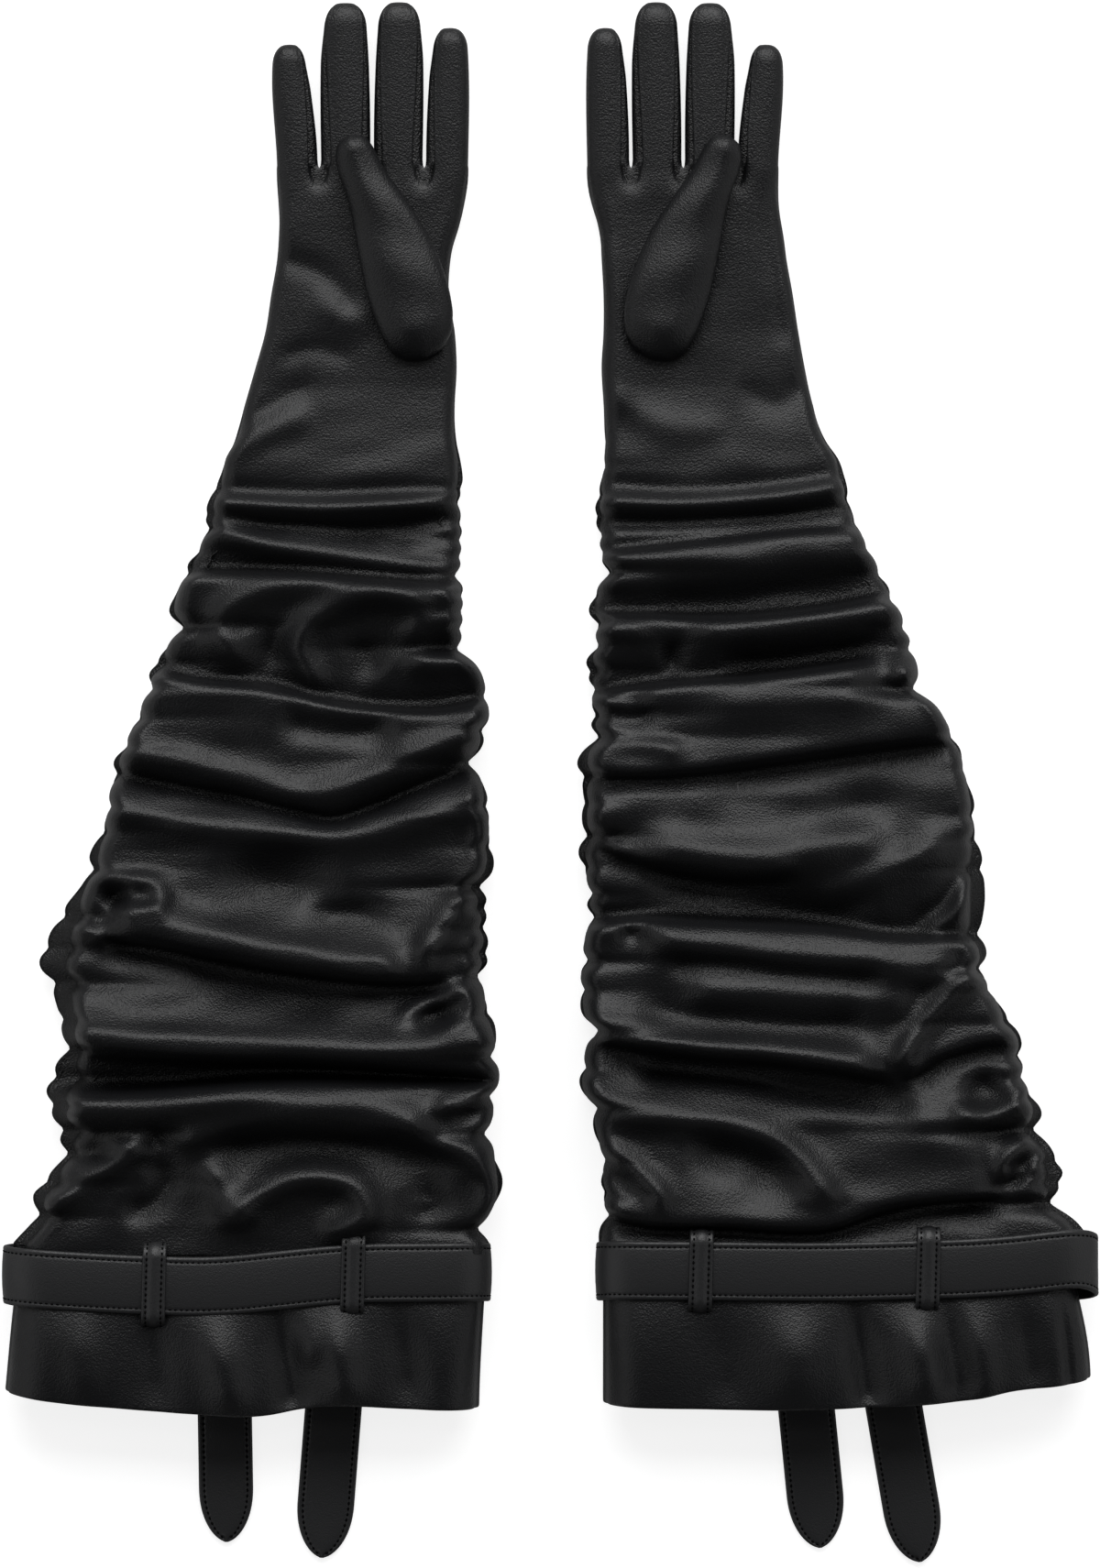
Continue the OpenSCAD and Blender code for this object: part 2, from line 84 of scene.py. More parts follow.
# Folds of each sleeve and hand: kind, height and width in mm, and the line it runs along, in percent
# of the sleeve's width and of its length from the cuff to the wrist. A lip is a tuck that is high on its
# cuff side and hollow on its finger side, and a brow is one the other way round.
RIGHT_FOLDS = [
    ("hollow", 2.5, 5, [(41.8, 87.6), (59.6, 87.1), (79.3, 87.4), (94.1, 87.3)]),
    ("ridge", 4, 6, [(42.8, 86), (59.6, 85.3), (79.3, 85.8), (92.7, 86.5)]),
    ("hollow", 4, 6, [(41.4, 84.2), (57.6, 83.5), (79.3, 83), (93.5, 84.7)]),
    ("ridge", 5, 7, [(41.2, 83.5), (50.1, 81.2), (68.7, 79.5), (86.2, 77.9), (92.3, 77)]),
    ("hollow", 2, 5, [(77.3, 81.6), (85.2, 81.8), (93.1, 81.6)]),
    ("lip", 8, 12, [(34.9, 77.7), (46.1, 77.7), (62.9, 77.3), (77.3, 76.6), (91.2, 76)]),
    ("ridge", 4, 8, [(91.9, 74.6), (74.6, 75.7), (59.6, 75.9), (50.7, 75), (44.2, 73.1),
        (42.4, 70.7), (45, 67.9), (47.7, 65.3)]),
    ("ridge", 4.5, 7, [(89.2, 73.1), (74.6, 74.5), (66.3, 73.1), (60, 70.4),
        (59.4, 67.9), (62.3, 65), (64.7, 62.8)]),
    ("hollow", 5, 12, [(71.6, 70.7), (73.4, 67.9), (77.3, 65.2)]),
    ("hollow", 3, 7, [(55.6, 71.7), (53.1, 69), (54.2, 65.7)]),
    ("ridge", 4, 6, [(81.3, 68.9), (83.7, 70.7), (89.2, 71.5), (95.5, 71.3)]),
    ("hollow", 4, 6, [(85.2, 69.2), (91.2, 69), (95.5, 68.9)]),
    ("ridge", 4, 7, [(80.3, 66.9), (87.2, 66.9), (94.3, 67.3), (100.2, 65)]),
    ("lip", 7, 12, [(27.6, 65.6), (39.8, 64.6), (53.6, 63.9), (63.5, 62.5),
        (77.3, 61.4), (89.2, 61.3), (100, 62.4)]),
    ("hollow", 4, 8, [(53.6, 60.2), (69.4, 58.6), (81.3, 59.1)]),
    ("ridge", 4, 8, [(21.1, 57), (33.9, 54.8), (47.7, 52.9), (59.6, 51.1),
        (69.4, 51.8), (81.3, 54.8), (98.1, 59.1)]),
    ("crease", 8, 4, [(18.5, 53.7), (33.9, 52.2), (47.7, 50.7), (59.6, 49.1), (66.5, 48.4),
        (73.4, 49.5), (83.3, 51.9), (97.1, 54.9)]),
    ("ridge", 5, 9, [(19.1, 49.8), (33.9, 47.9), (51.7, 46.8), (63.5, 46.2), (79.3, 47.6), (99.1, 50.7)]),
    ("hollow", 6, 16, [(39.8, 42.2), (53.6, 40.5), (69.4, 41.1)]),
    ("hollow", 4, 10, [(59.6, 36.7), (73.4, 36.7), (79.3, 34.5)]),
    ("ridge", 5, 9, [(100.6, 47.1), (99.8, 42.4), (93.7, 38.1), (86.8, 32.8), (84.6, 29.9)]),
    ("hollow", 3, 6, [(93.1, 33.4), (97.1, 37.8), (100, 40)]),
    ("ridge", 4, 5, [(15.9, 41.8), (22.5, 41.4), (29, 40.4), (30.4, 38.8), (27.6, 37.3), (18.9, 37.6)]),
    ("hollow", 5, 5, [(16.5, 39.1), (24, 38.9)]),
    ("ridge", 5.5, 9, [(18.9, 37.6), (31.1, 36), (49.5, 33.6), (71.4, 31.6), (83.3, 31)]),
    ("brow", 7, 9, [(15.2, 34.5), (27.6, 33.6), (49.5, 31.2), (67.7, 29.7), (84.6, 29.1), (93.1, 29.4)]),
    ("ridge", 3, 4, [(11.6, 35.9), (16.9, 34), (18.9, 31.6)]),
    ("hollow", 3, 12, [(34.9, 29.9), (53.6, 27.9), (71.4, 26.3)]),
    ("ridge", 3, 5, [(78.7, 23.7), (87.2, 26.5), (94.7, 27.7), (96.3, 25.7), (87.2, 23.1)]),
    ("hollow", 4, 5, [(83.3, 24.4), (93.1, 25.7)]),
    ("ridge", 7, 10, [(10.2, 23.5), (20.3, 22.6), (42.2, 21.7), (64.1, 21.5), (86, 21.1), (101, 22.6)]),
    ("brow", 6, 8, [(11.8, 20.6), (42.2, 19.9), (64.1, 19.4), (86, 18.4), (103, 17.3)]),
    ("lip", 7, 9, [(9.2, 15.7), (27.6, 16.1), (49.5, 17.2), (64.1, 17.4), (86, 17.2), (102, 16.9)]),
    ("ridge", 5, 8, [(12.2, 14), (27.6, 14), (49.5, 15), (64.1, 14.6), (81.3, 13.3), (89, 11.1)]),
    ("ridge", 4, 5, [(88.2, 12.6), (89.6, 14), (96.3, 14.9), (104.2, 16.6)]),
    ("hollow", 4, 5, [(91.6, 12.8), (99.1, 14.1)]),
    ("hollow", 5, 12, [(36.9, 8.7), (53.6, 10), (71.4, 9.7), (85.2, 8), (93.1, 5.4)]),
    ("ridge", 4.5, 7, [(31.9, 9.9), (42.2, 11.6), (56.8, 12.6), (71.4, 12.1), (86, 10.6),
        (97.1, 8), (101.6, 4.3), (101, 0.5)]),
    ("crease", 4, 3, [(31.9, 9.3), (28.4, 10.2), (30.5, 12)]),
    ("hollow", 4, 7, [(13.2, 9.3), (18.1, 9.1), (21.1, 10)]),
    ("ridge", 4.5, 7, [(4.3, 1.8), (13, 5.1), (22.5, 8.7), (28.4, 11.1)]),
    ("hollow", 4, 7, [(26.2, 8.7), (30.9, 5.4), (29.2, 3.6), (20.3, 0.7)]),
    ("ridge", 4, 8, [(41.4, -1), (43.8, 3.2), (40.8, 6.5), (36.9, 7.6)]),
    ("ridge", 6, 8, [(45.2, -1.2), (49.5, 3.2), (55.4, 5.2), (64.1, 6), (71.4, 4.6),
        (73.6, 1.8), (70, -0), (62.5, -1.2)]),
    ("hollow", 3, 8, [(81.3, 4.9), (89.2, 2.7), (81.3, 0.5)]),
    ("ridge", 1.5, 7, [(41.8, 91.5), (51.7, 94.5), (62.5, 97.2)]),
    ("hollow", 1.2, 6, [(44.8, 94.8), (53.6, 98.1), (63.5, 100.8)]),
    ("hollow", 1.5, 6, [(57.2, 115), (62.5, 113.9), (67.9, 111.4), (71, 107.9)]),
    ("ridge", 1.6, 9, [(59.6, 110.1), (67.9, 108.5), (72.4, 104.6)]),
    ("hollow", 1, 5, [(53.6, 103), (61.5, 104.6), (71.4, 103)]),
]
LEFT_FOLDS = [
    ("hollow", 2.5, 5, [(4.4, 88.2), (19.6, 87.5), (38.6, 88.2), (54.8, 89.5)]),
    ("ridge", 4, 7, [(5.3, 86.2), (19.6, 85.8), (38.6, 86.5), (55.7, 88.2)]),
    ("hollow", 3.5, 5, [(4.4, 83.6), (19.6, 83.8), (38.6, 84.4), (56.7, 85.7)]),
    ("ridge", 3, 5, [(4.8, 82.2), (19.6, 82.4), (38.6, 83.3), (57.2, 84.2)]),
    ("lip", 5, 9, [(4.4, 80.1), (15.8, 80.7), (31, 81.6), (44.3, 82.4), (57.6, 82.9)]),
    ("ridge", 3, 10, [(5.3, 77.8), (23.4, 78.5), (42.4, 79.4), (59.5, 80.5)]),
    ("hollow", 3, 9, [(12, 74.8), (31, 75), (46.2, 76.1), (57.6, 77.4)]),
    ("lip", 6.5, 10, [(2.1, 72.6), (13.9, 72.5), (26.4, 72.3), (48.7, 73.3), (61.6, 74.8)]),
    ("ridge", 3, 7, [(4.4, 70.7), (10.1, 70.4), (14.3, 68.9)]),
    ("hollow", 4, 5, [(16.2, 69.8), (18.3, 67.8), (17.1, 65.4)]),
    ("ridge", 4, 9, [(20.5, 70.7), (31, 70.1), (50, 70.9), (66.2, 72.3)]),
    ("hollow", 5, 9, [(27.2, 67.1), (40.5, 67.8), (53.8, 69), (63.3, 70.7)]),
    ("lip", 7, 11, [(1.5, 63.3), (17.3, 64.4), (35, 65.2), (50.8, 66.4), (61.8, 67.3)]),
    ("ridge", 4, 6, [(61.8, 67.1), (69, 64.1), (77.9, 58.6)]),
    ("ridge", 3, 14, [(19.6, 61.3), (38.6, 62.1), (57.6, 62.4), (70.9, 61.3)]),
    ("crease", 4, 4, [(3.4, 63.3), (10.1, 62.6), (14.8, 63.2)]),
    ("hollow", 3, 5, [(4.4, 59.7), (12, 60.2), (15.8, 61.7)]),
    ("ridge", 3, 6, [(3.6, 58.6), (12.7, 57.6), (18.6, 56.2), (20.5, 54.6)]),
    ("brow", 6, 9, [(0.2, 53.4), (17.3, 53.6), (25.9, 54.1), (44.9, 55.6), (64.4, 57.2), (77.9, 57.9)]),
    ("ridge", 4, 12, [(2.5, 49.8), (15.8, 51.1), (31, 51.4)]),
    ("hollow", 4, 16, [(46.2, 49.8), (59.5, 50), (70.9, 51.1)]),
    ("ridge", 4.5, 11, [(10.1, 46), (23.4, 44.3), (38.6, 43.9), (53.8, 45.2), (65.2, 46)]),
    ("brow", 5, 8, [(1.5, 45.9), (8.8, 43.8), (17.3, 42.6), (29.7, 41.5), (44.9, 41.8)]),
    ("crease", 4, 4, [(2.5, 46.3), (8.2, 46), (9.7, 44.6)]),
    ("hollow", 5, 12, [(11.4, 42.2), (31, 39.5), (48.1, 37.7), (61.4, 38.3)]),
    ("ridge", 3, 8, [(46.2, 38.3), (57.6, 41.1), (69, 44.3), (76.6, 47.1)]),
    ("hollow", 3, 7, [(66.2, 34.9), (72.8, 37.8), (78.5, 42.2)]),
    ("ridge", 4, 6, [(68.1, 34.5), (75.7, 36.7), (80.8, 41.1)]),
    ("lip", 6.5, 9, [(2.3, 36.3), (12.7, 36.6), (28.5, 36.1), (46.2, 35.6), (66.3, 34.3), (76.6, 34.3)]),
    ("crease", 5, 4, [(6.3, 35.4), (11, 34.7), (12.6, 35.8)]),
    ("ridge", 4.5, 8, [(12, 34.5), (18.4, 33.7), (36.7, 32.3), (58.4, 31.4), (70.7, 30.5), (77.6, 31.7)]),
    ("hollow", 3, 6, [(15.8, 31.2), (25.7, 31.4), (43.9, 30), (62.2, 29.1)]),
    ("ridge", 3, 9, [(19.6, 28.2), (40.3, 27.8), (62.2, 27), (70, 26.3)]),
    ("hollow", 3.5, 9, [(10.1, 25.7), (22.1, 24.6), (43.9, 23.5), (59.5, 24.1)]),
    ("ridge", 5, 9, [(3.4, 23.5), (22.1, 22), (43.9, 20.7), (61.4, 18.8)]),
    ("brow", 7, 9, [(2.5, 22.3), (22.1, 20.6), (43.9, 19.4), (61.4, 17.5), (64.6, 16.8)]),
    ("ridge", 5.5, 6, [(64.3, 17.6), (65.8, 20.9), (71.5, 25.5), (78.9, 29.8)]),
    ("brow", 5, 6, [(64.6, 16.8), (73, 19.9), (80.2, 21.4), (92.2, 22.1)]),
    ("hollow", 5, 9, [(78.5, 18), (82.5, 16.1), (87.1, 16.9)]),
    ("ridge", 5, 6, [(73.8, 14.2), (82.5, 13.3), (90.5, 15.3), (93.1, 17.8)]),
    ("hollow", 4, 7, [(10.1, 18.9), (31, 17.6), (50, 15.6), (69, 14.8)]),
    ("ridge", 5, 8, [(-0.9, 16.7), (7.6, 14.1), (18.4, 13.2), (30.8, 11.9),
        (40.3, 9.8), (46.8, 6.1), (52.7, 2.3)]),
    ("hollow", 5, 12, [(19.6, 9.1), (34.8, 7.3), (43.9, 3.2)]),
    ("ridge", 4, 16, [(61.4, 12), (76.6, 10.9), (84.2, 10.4)]),
    ("ridge", 5, 5, [(86.9, 4.1), (86.1, 7.5), (90.9, 10.6), (93.3, 14.8)]),
    ("hollow", 4, 7, [(89.9, 4), (90.7, 7.1), (94.1, 9.6)]),
    ("brow", 7, 9, [(4.4, 1.3), (11.2, 0.4), (29.3, -0), (53.4, 0.2), (58.4, 1.4), (73, 3.1), (86.9, 3.6)]),
    ("ridge", 4, 6, [(4.6, 9.2), (11.2, 6.6), (15.6, 3.4), (14.3, 1.2)]),
    ("hollow", 4, 7, [(5.9, 6), (10.1, 3.2)]),
    ("ridge", 4, 5, [(88, 3.8), (93.7, 7.1), (99, 9.3)]),
    ("crease", 5, 3, [(93.3, 6.2), (97.5, 6.9), (100, 7.7)]),
    ("ridge", 3, 5, [(91.8, 2.1), (96.6, 3.8), (100, 3.8)]),
    ("ridge", 1.4, 8, [(6.7, 98.1), (19.6, 94.8), (31, 95)]),
    ("hollow", 1.2, 7, [(31, 100.2), (40.5, 98.1), (46.2, 100.2)]),
    ("ridge", 1.6, 8, [(4.4, 113.4), (6.7, 109), (7.4, 102.4)]),
    ("hollow", 1.2, 6, [(39.5, 124.4), (38.6, 117.8), (40.5, 110.1)]),
]
# Gathers along each side edge: percent of the sleeve's length, depth in mm
RIGHT_LOW_GATHERS = [
    (87.9, 0.6), (84.8, 1), (83.1, 2.1), (80.2, 1.2), (77.7, 2), (71.3, 4.4), (66.9, 1.9), (63.8, 2),
    (60.3, 1.8), (56.9, 1.5), (53.8, 2), (49.8, 1.4), (46.7, 1.2), (42.3, 2.5), (36.6, 2.5), (32.8, 2),
    (28.8, 3.3), (24.4, 1.5), (20.8, 2.5), (17.4, 3.3), (14.2, 1.5), (11.2, 4.1), (8.4, 2), (4.9, 2.9),
    (1.1, 2),
]
RIGHT_HIGH_GATHERS = [
    (87.9, 0.8), (86.2, 1.2), (83.7, 1), (81.8, 1.2), (79.7, 1.2), (77.4, 2.9), (75, 1), (73, 1.2),
    (71, 1.5), (68.6, 4.2), (62.9, 1.5), (58.9, 2), (55, 3.9), (49.8, 1.2), (44.9, 1), (40.2, 4),
    (37.7, 1.5), (35.3, 1.5), (32.3, 1.5), (29.6, 2.4), (25.1, 1.2), (20, 2.5), (15.3, 2.5),
    (10.8, 2.9), (-0.6, 3),
]
LEFT_LOW_GATHERS = [
    (90.5, 0.6), (87, 0.9), (84.6, 1), (82.2, 1.2), (80.2, 1.2), (77.8, 4.5), (75, 1), (71.7, 2.4),
    (69, 1.5), (66, 2.3), (63.8, 1.5), (60.7, 2.8), (58.1, 4.2), (53.5, 2), (50.2, 0.7), (46.3, 2.2),
    (42.7, 1.2), (39.3, 1.7), (36.6, 3.2), (31.4, 2.7), (27.9, 1.2), (23.1, 4.7), (18.6, 1.2),
    (13.9, 2.5), (7.7, 1.1), (3.8, 1.1), (1.1, 2),
]
LEFT_HIGH_GATHERS = [
    (86.6, 0.8), (83.7, 0.8), (80.5, 1), (77.4, 1.2), (74.4, 1.6), (71.1, 1.5), (68.6, 1.9),
    (63.8, 4.8), (58, 1.5), (54.2, 0.5), (48.7, 1), (45.8, 0.9), (42.3, 1.4), (34.5, 2), (30.5, 2.8),
    (27.9, 1.1), (24.1, 1.5), (20, 2.2), (17.5, 1.5), (15.2, 1), (11.2, 5.3), (7.3, 1.4), (4.9, 2),
    (2.5, 6),
]
# The front panel's outline: percent of the sleeve's length, lowest and highest X in percent of its width
RIGHT_OUTLINE = [
    (-2.3, 0.3, 99.5), (-0.6, 3.3, 99.1), (3.8, 4.7, 101.6), (8.2, 9.4, 101.0), (12.6, 9.0, 100.6),
    (16.9, 9.4, 102.0), (21.3, 11.2, 101.4), (25.7, 10.6, 99.3), (30.1, 8.6, 98.5), (34.5, 9.8, 98.7),
    (38.9, 12.2, 98.1), (43.2, 15.2, 99.3), (47.6, 17.3, 99.8), (52.0, 18.5, 98.5), (56.4, 20.9, 97.7),
    (60.8, 24.4, 99.8), (65.2, 27.2, 98.5), (69.6, 30.7, 94.9), (73.9, 32.1, 94.5), (78.3, 34.7, 94.1),
    (82.7, 38.6, 93.9), (87.1, 41.0, 93.3), (89.3, 42.2, 93.1), (91.5, 43.0, 92.9), (93.6, 45.1, 92.3),
    (98.2, 47.2, 92.3), (102.5, 49.4, 92.7), (106.7, 51.5, 92.3), (111.3, 52.8, 91.0),
    (115.6, 54.1, 91.4), (120.1, 54.5, 93.1), (124.4, 54.5, 93.6), (126.3, 54.1, 94.4),
]
LEFT_OUTLINE = [
    (-2.3, 3.6, 102.5), (-0.6, 3.8, 101.3), (3.8, 4.0, 97.5), (8.2, 3.6, 95.6), (12.6, 1.9, 93.3),
    (16.9, -0.4, 91.4), (21.3, 0.2, 90.3), (25.7, -0.2, 86.1), (30.1, -0.8, 82.7), (34.5, 0.2, 80.8),
    (38.9, 0.8, 80.0), (43.2, 0.2, 80.4), (47.6, 0.6, 80.6), (52.0, 0.6, 79.5), (56.4, 0.8, 77.8),
    (60.8, 1.5, 73.8), (65.2, 1.3, 69.8), (69.6, 2.1, 67.9), (73.9, 2.1, 64.8), (78.3, 3.0, 61.2),
    (82.7, 3.0, 57.2), (87.1, 3.4, 54.4), (89.3, 3.8, 53.2), (91.5, 4.2, 52.3), (93.6, 4.5, 50.0),
    (98.2, 4.1, 47.5), (102.5, 3.7, 45.9), (106.7, 4.1, 44.6), (111.3, 4.1, 43.4), (115.6, 3.7, 42.1),
    (120.1, 3.3, 41.3), (124.4, 2.1, 40.5), (126.3, 1.2, 40.5),
]

# The flat outline of each hem: percent across the cuff, mm beyond the cuff's end
RIGHT_HEM = [(0, -6), (12, -2), (26, 1), (40, 3.5), (53, 4.5), (67, -0.5), (84, 1), (100, 2.5)]
LEFT_HEM = [(0, 0), (18, 1), (37, 1.5), (52, 0.5), (66, -1.5), (76, -4), (84, -8), (92, -10), (100, -12.5)]
# Folds of each cuff, as above, but in percent across the cuff and down from its upper end to the hem
RIGHT_CUFF_FOLDS = [
    ("ridge", 4, 11, [(41, 0), (43.5, 45), (49, 108)]),
    ("hollow", 4, 8, [(55.5, 20), (58, 60), (61, 108)]),
    ("ridge", 4, 10, [(68, 0), (69, 45), (72.5, 108)]),
    ("hollow", 3, 12, [(79, 20), (83, 60), (86, 108)]),
    ("hollow", 2.5, 12, [(28, 20), (31, 60), (33, 108)]),
    ("ridge", 2, 12, [(13, 10), (15, 50), (18, 108)]),
    ("ridge", 2, 6, [(61, 5), (63.5, 45), (64, 80)]),
    ("crease", 1.4, 3, [(36, 12), (37, 30), (38, 50)]),
]
LEFT_CUFF_FOLDS = [
    ("ridge", 3, 13, [(37, 0), (38.5, 50), (40, 108)]),
    ("hollow", 4.5, 8, [(49, 10), (52, 55), (55, 108)]),
    ("ridge", 4, 11, [(60, 0), (63, 45), (67.5, 108)]),
    ("ridge", 2.5, 8, [(72, 5), (75, 45), (79, 108)]),
    ("hollow", 2.5, 9, [(69, 20), (71, 60), (74, 108)]),
    ("hollow", 2, 12, [(22, 15), (24, 60), (26, 108)]),
    ("crease", 3, 2.2, [(92, 0), (94, 50), (96, 108)]),
    ("hollow", 2, 9, [(83, 10), (86, 60), (89, 108)]),
]
# Middle line of each belt over the front: percent across the cuff, mm towards the fingers
RIGHT_BELT_LINE = [(-2, 0.4), (10, -1.5), (30, -4), (44, -4.6), (58, -1.5), (72, 1.6), (88, 2.2), (102, 2.3)]
LEFT_BELT_LINE = [(-3, 3.2), (20, 3), (45, 2.6), (62, 3.5), (75, 4.4), (86, 6.4), (95, 9), (103, 10.5)]
# How far each back panel shows beyond the front one: percent of the sleeve's length, mm
RIGHT_BACK_LOW = [(-2, 6), (3, 7), (8, 6), (12, 9), (17, 12), (21, 10.6), (26, 9), (30, 14), (34.5, 13),
                  (39, 6), (43, 4), (48, 2), (60, 1), (75, 1), (90, 2), (100, 2)]
RIGHT_BACK_HIGH = [(-2, 1), (30, 1), (36, 3), (41, 3), (46, 1), (70, 0.5), (100, 0)]
LEFT_BACK_LOW = [(-2, 0.5), (35, 1), (43, 1.4), (47, 2.8), (52, 3.7), (57, 2), (70, 0.5), (100, 0)]
LEFT_BACK_HIGH = [(-2, 6), (3, 4.6), (7.5, 7), (12, 6.5), (17, 3), (21, 2), (30, 2), (34.5, 6), (39, 7),
                  (43, 5), (48, 2), (70, 1), (100, 0.5)]
# The sleeve's top and underside, in percent of its length and of its height
SLEEVE_TOP = [(-8, 74), (0, 78), (17, 86), (42, 85), (62, 78), (76, 63), (84, 53), (93, 42), (100, 35.2)]
SLEEVE_UNDER = [(-8, 28), (0, 24), (17, 0), (100, 0)]

# Each table by its glove
SLEEVE_FOLDS = {"right": RIGHT_FOLDS, "left": LEFT_FOLDS}
OUTLINES = {"right": RIGHT_OUTLINE, "left": LEFT_OUTLINE}
GATHERS = {"right": (RIGHT_LOW_GATHERS, RIGHT_HIGH_GATHERS), "left": (LEFT_LOW_GATHERS, LEFT_HIGH_GATHERS)}
BACK_SHOWS = {"right": (RIGHT_BACK_LOW, RIGHT_BACK_HIGH), "left": (LEFT_BACK_LOW, LEFT_BACK_HIGH)}
HEMS = {"right": RIGHT_HEM, "left": LEFT_HEM}
CUFF_FOLDS = {"right": RIGHT_CUFF_FOLDS, "left": LEFT_CUFF_FOLDS}
BELT_LINES = {"right": RIGHT_BELT_LINE, "left": LEFT_BELT_LINE}

# How far each fingertip leans across the right glove and reaches past its joint piece, in mm
FINGER_LEAN = {"index": (1.2, 0.0), "middle": (0.8, 0.0), "ring": (-0.6, 1.6), "little": (-3.6, 3.6)}
# Half-width of a thumb along its length, in parts of its CAD half-width, and its bow in mm
THUMB_HALF = [(0, 0), (0.015, 0.36), (0.05, 0.67), (0.13, 0.93), (0.22, 1.02), (0.31, 1.04), (0.495, 0.94),
              (0.675, 0.72), (0.8, 0.585), (0.88, 0.545), (0.94, 0.46), (0.98, 0.29), (1, 0)]
THUMB_BOW = [(0, 0), (0.15, 1.5), (0.31, 2.4), (0.5, 2.6), (0.68, 1.6), (0.88, -1.2), (1, -0.8)]

# How much narrower a finger gets towards its tip, in parts of its half-width
FINGER_SLIM = {"index": 0.2, "middle": 0.12, "ring": 0.12, "little": 0.2}

# Faces across one finger's front and back, and points down one side
FRONT_STEPS = 32
BACK_STEPS = 10
SIDE_STEPS = 6
# How far a finger's front and back reach round on each side
FRONT_TURN = math.radians(62)
BACK_TURN = math.radians(55)
# Half a finger's height in mm, and the power that rounds its section: 1 is round and 0 is square
FINGER_HALF_HEIGHT = 7.8
FINGER_ROUNDNESS = 0.86
# The lowest that the leather of a sleeve or hand comes to the floor, in mm
LEAST_Z = 0.25
# Height of a sleeve's side edges, from 0 at the underside to 1 at the top
EDGE_LEVEL = 0.44
# How far the folds may rise above the sleeve's CAD pieces, in mm
FOLD_ROOM = 9
# From one ring of a glove's surface to the next, in mm
ROW = 1.5
# A finger's front seams at its root, and how much further out they are at its tip, in degrees
SEAM_ROOT = 42
SEAM_SHIFT = 17
# Faces across a cuff's front, points down one side and faces across its back
CUFF_STEPS = (120, 8, 60)
# How far the turned-in hem lies inside the cuff's outer face, in mm, and how deep the cuff's folds are drawn
HEM_THICK = 2.0
CUFF_FOLD_GAIN = 1.7
# How far the belt's middle line lies outside the cuff and inside its CAD box, in mm, and its points
BELT_LIFT = 3.0
BELT_SINK = 1.4
BELT_POINTS = 260
# Thickness of each strap, and the inset of a loop's stitching, in mm
BELT_THICK = 2.5
LOOP_THICK = 2.0
TAIL_THICK = 1.6
LOOP_INSET = 2.2
# Radius of the thread in mm, half the length of a stitch in parts of the pitch, and the thread's sides
THREAD_RADIUS = 0.52
STITCH_HALF = 0.31
THREAD_SIDES = 6
# The floor, in metres, and how bright the floor and the surroundings look to the camera
FLOOR_REACH = 15.0
FLOOR_LEVEL = -0.0004
FLOOR_GLOW = 0.8
SKY_SEEN = 0.95
# The camera's sensor in mm, and the length that it sees at the gloves' height, in metres
SENSOR = 36
VIEW_LENGTH = 0.787
# How far a tape lies inside the panel's edge, and its cross-section, in mm
TAPE_INSIDE = 9
TAPE_SECTION = [(-0.35, -3), (-0.35, -1), (-0.35, 1), (-0.35, 3),
                (0.35, 3), (0.35, 1), (0.35, -1), (0.35, -3)]
# Points round a knot, rings along it and how near the floor it comes, in mm
KNOT_SIDES = 56
KNOT_RINGS = 44
KNOT_LEAST_Z = 2.6
# Points round a thumb and rings along it
THUMB_SIDES = 48
THUMB_RINGS = 84


# ---- The frame, in millimetres ----

def box_mm(*nodes):
    """Lowest and highest corners of some CAD nodes together."""
    corners = [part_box(n) for n in nodes]
    low = np.min([np.array(c[0]) for c in corners], axis=0)
    high = np.max([np.array(c[1]) for c in corners], axis=0)
    return low / MM, high / MM


def node_points(node):
    """The corner points of one CAD node."""
    mesh = frame["nodes"][node].data
    points = np.zeros(len(mesh.vertices) * 3)
    mesh.vertices.foreach_get("co", points)
    return points.reshape(-1, 3) / MM


def clusters(values, gap):
    """Splits a row of numbers where neighbours are further apart than the gap; gives (low, high) pairs."""
    values = np.unique(np.round(values, 3))
    cuts = np.nonzero(np.diff(values) > gap)[0] + 1
    return [(part[0], part[-1]) for part in np.split(values, cuts)]


def joint(name):
    """One joint of the record."""
    for row in frame["record"]["behaviour"]["joints"]:
        if row["name"] == name:
            return row
    raise RuntimeError(f"the record has no joint {name}")


def smooth_table(rows, at, column=1):
    """Reads a table at some places along a smooth curve through its rows."""
    places = np.array([r[0] for r in rows], float)
    values = np.array([r[column] for r in rows], float)
    slopes = np.gradient(values, places)
    k = np.clip(np.searchsorted(places, at) - 1, 0, len(places) - 2)
    span = places[k + 1] - places[k]
    t = np.clip((at - places[k]) / span, 0, 1)
    a = (1 + 2 * t) * (1 - t) ** 2 * values[k] + t * (1 - t) ** 2 * span * slopes[k]
    return a + t * t * (3 - 2 * t) * values[k + 1] + t * t * (t - 1) * span * slopes[k + 1]


def ease(t):
    """A smooth step from 0 to 1."""
    t = np.clip(t, 0, 1)
    return t * t * (3 - 2 * t)


def dome(t):
    """Rises like a quarter circle from 0 to 1."""
    return np.sqrt(np.maximum(0, 1 - (1 - np.clip(t, 0, 1)) ** 2))


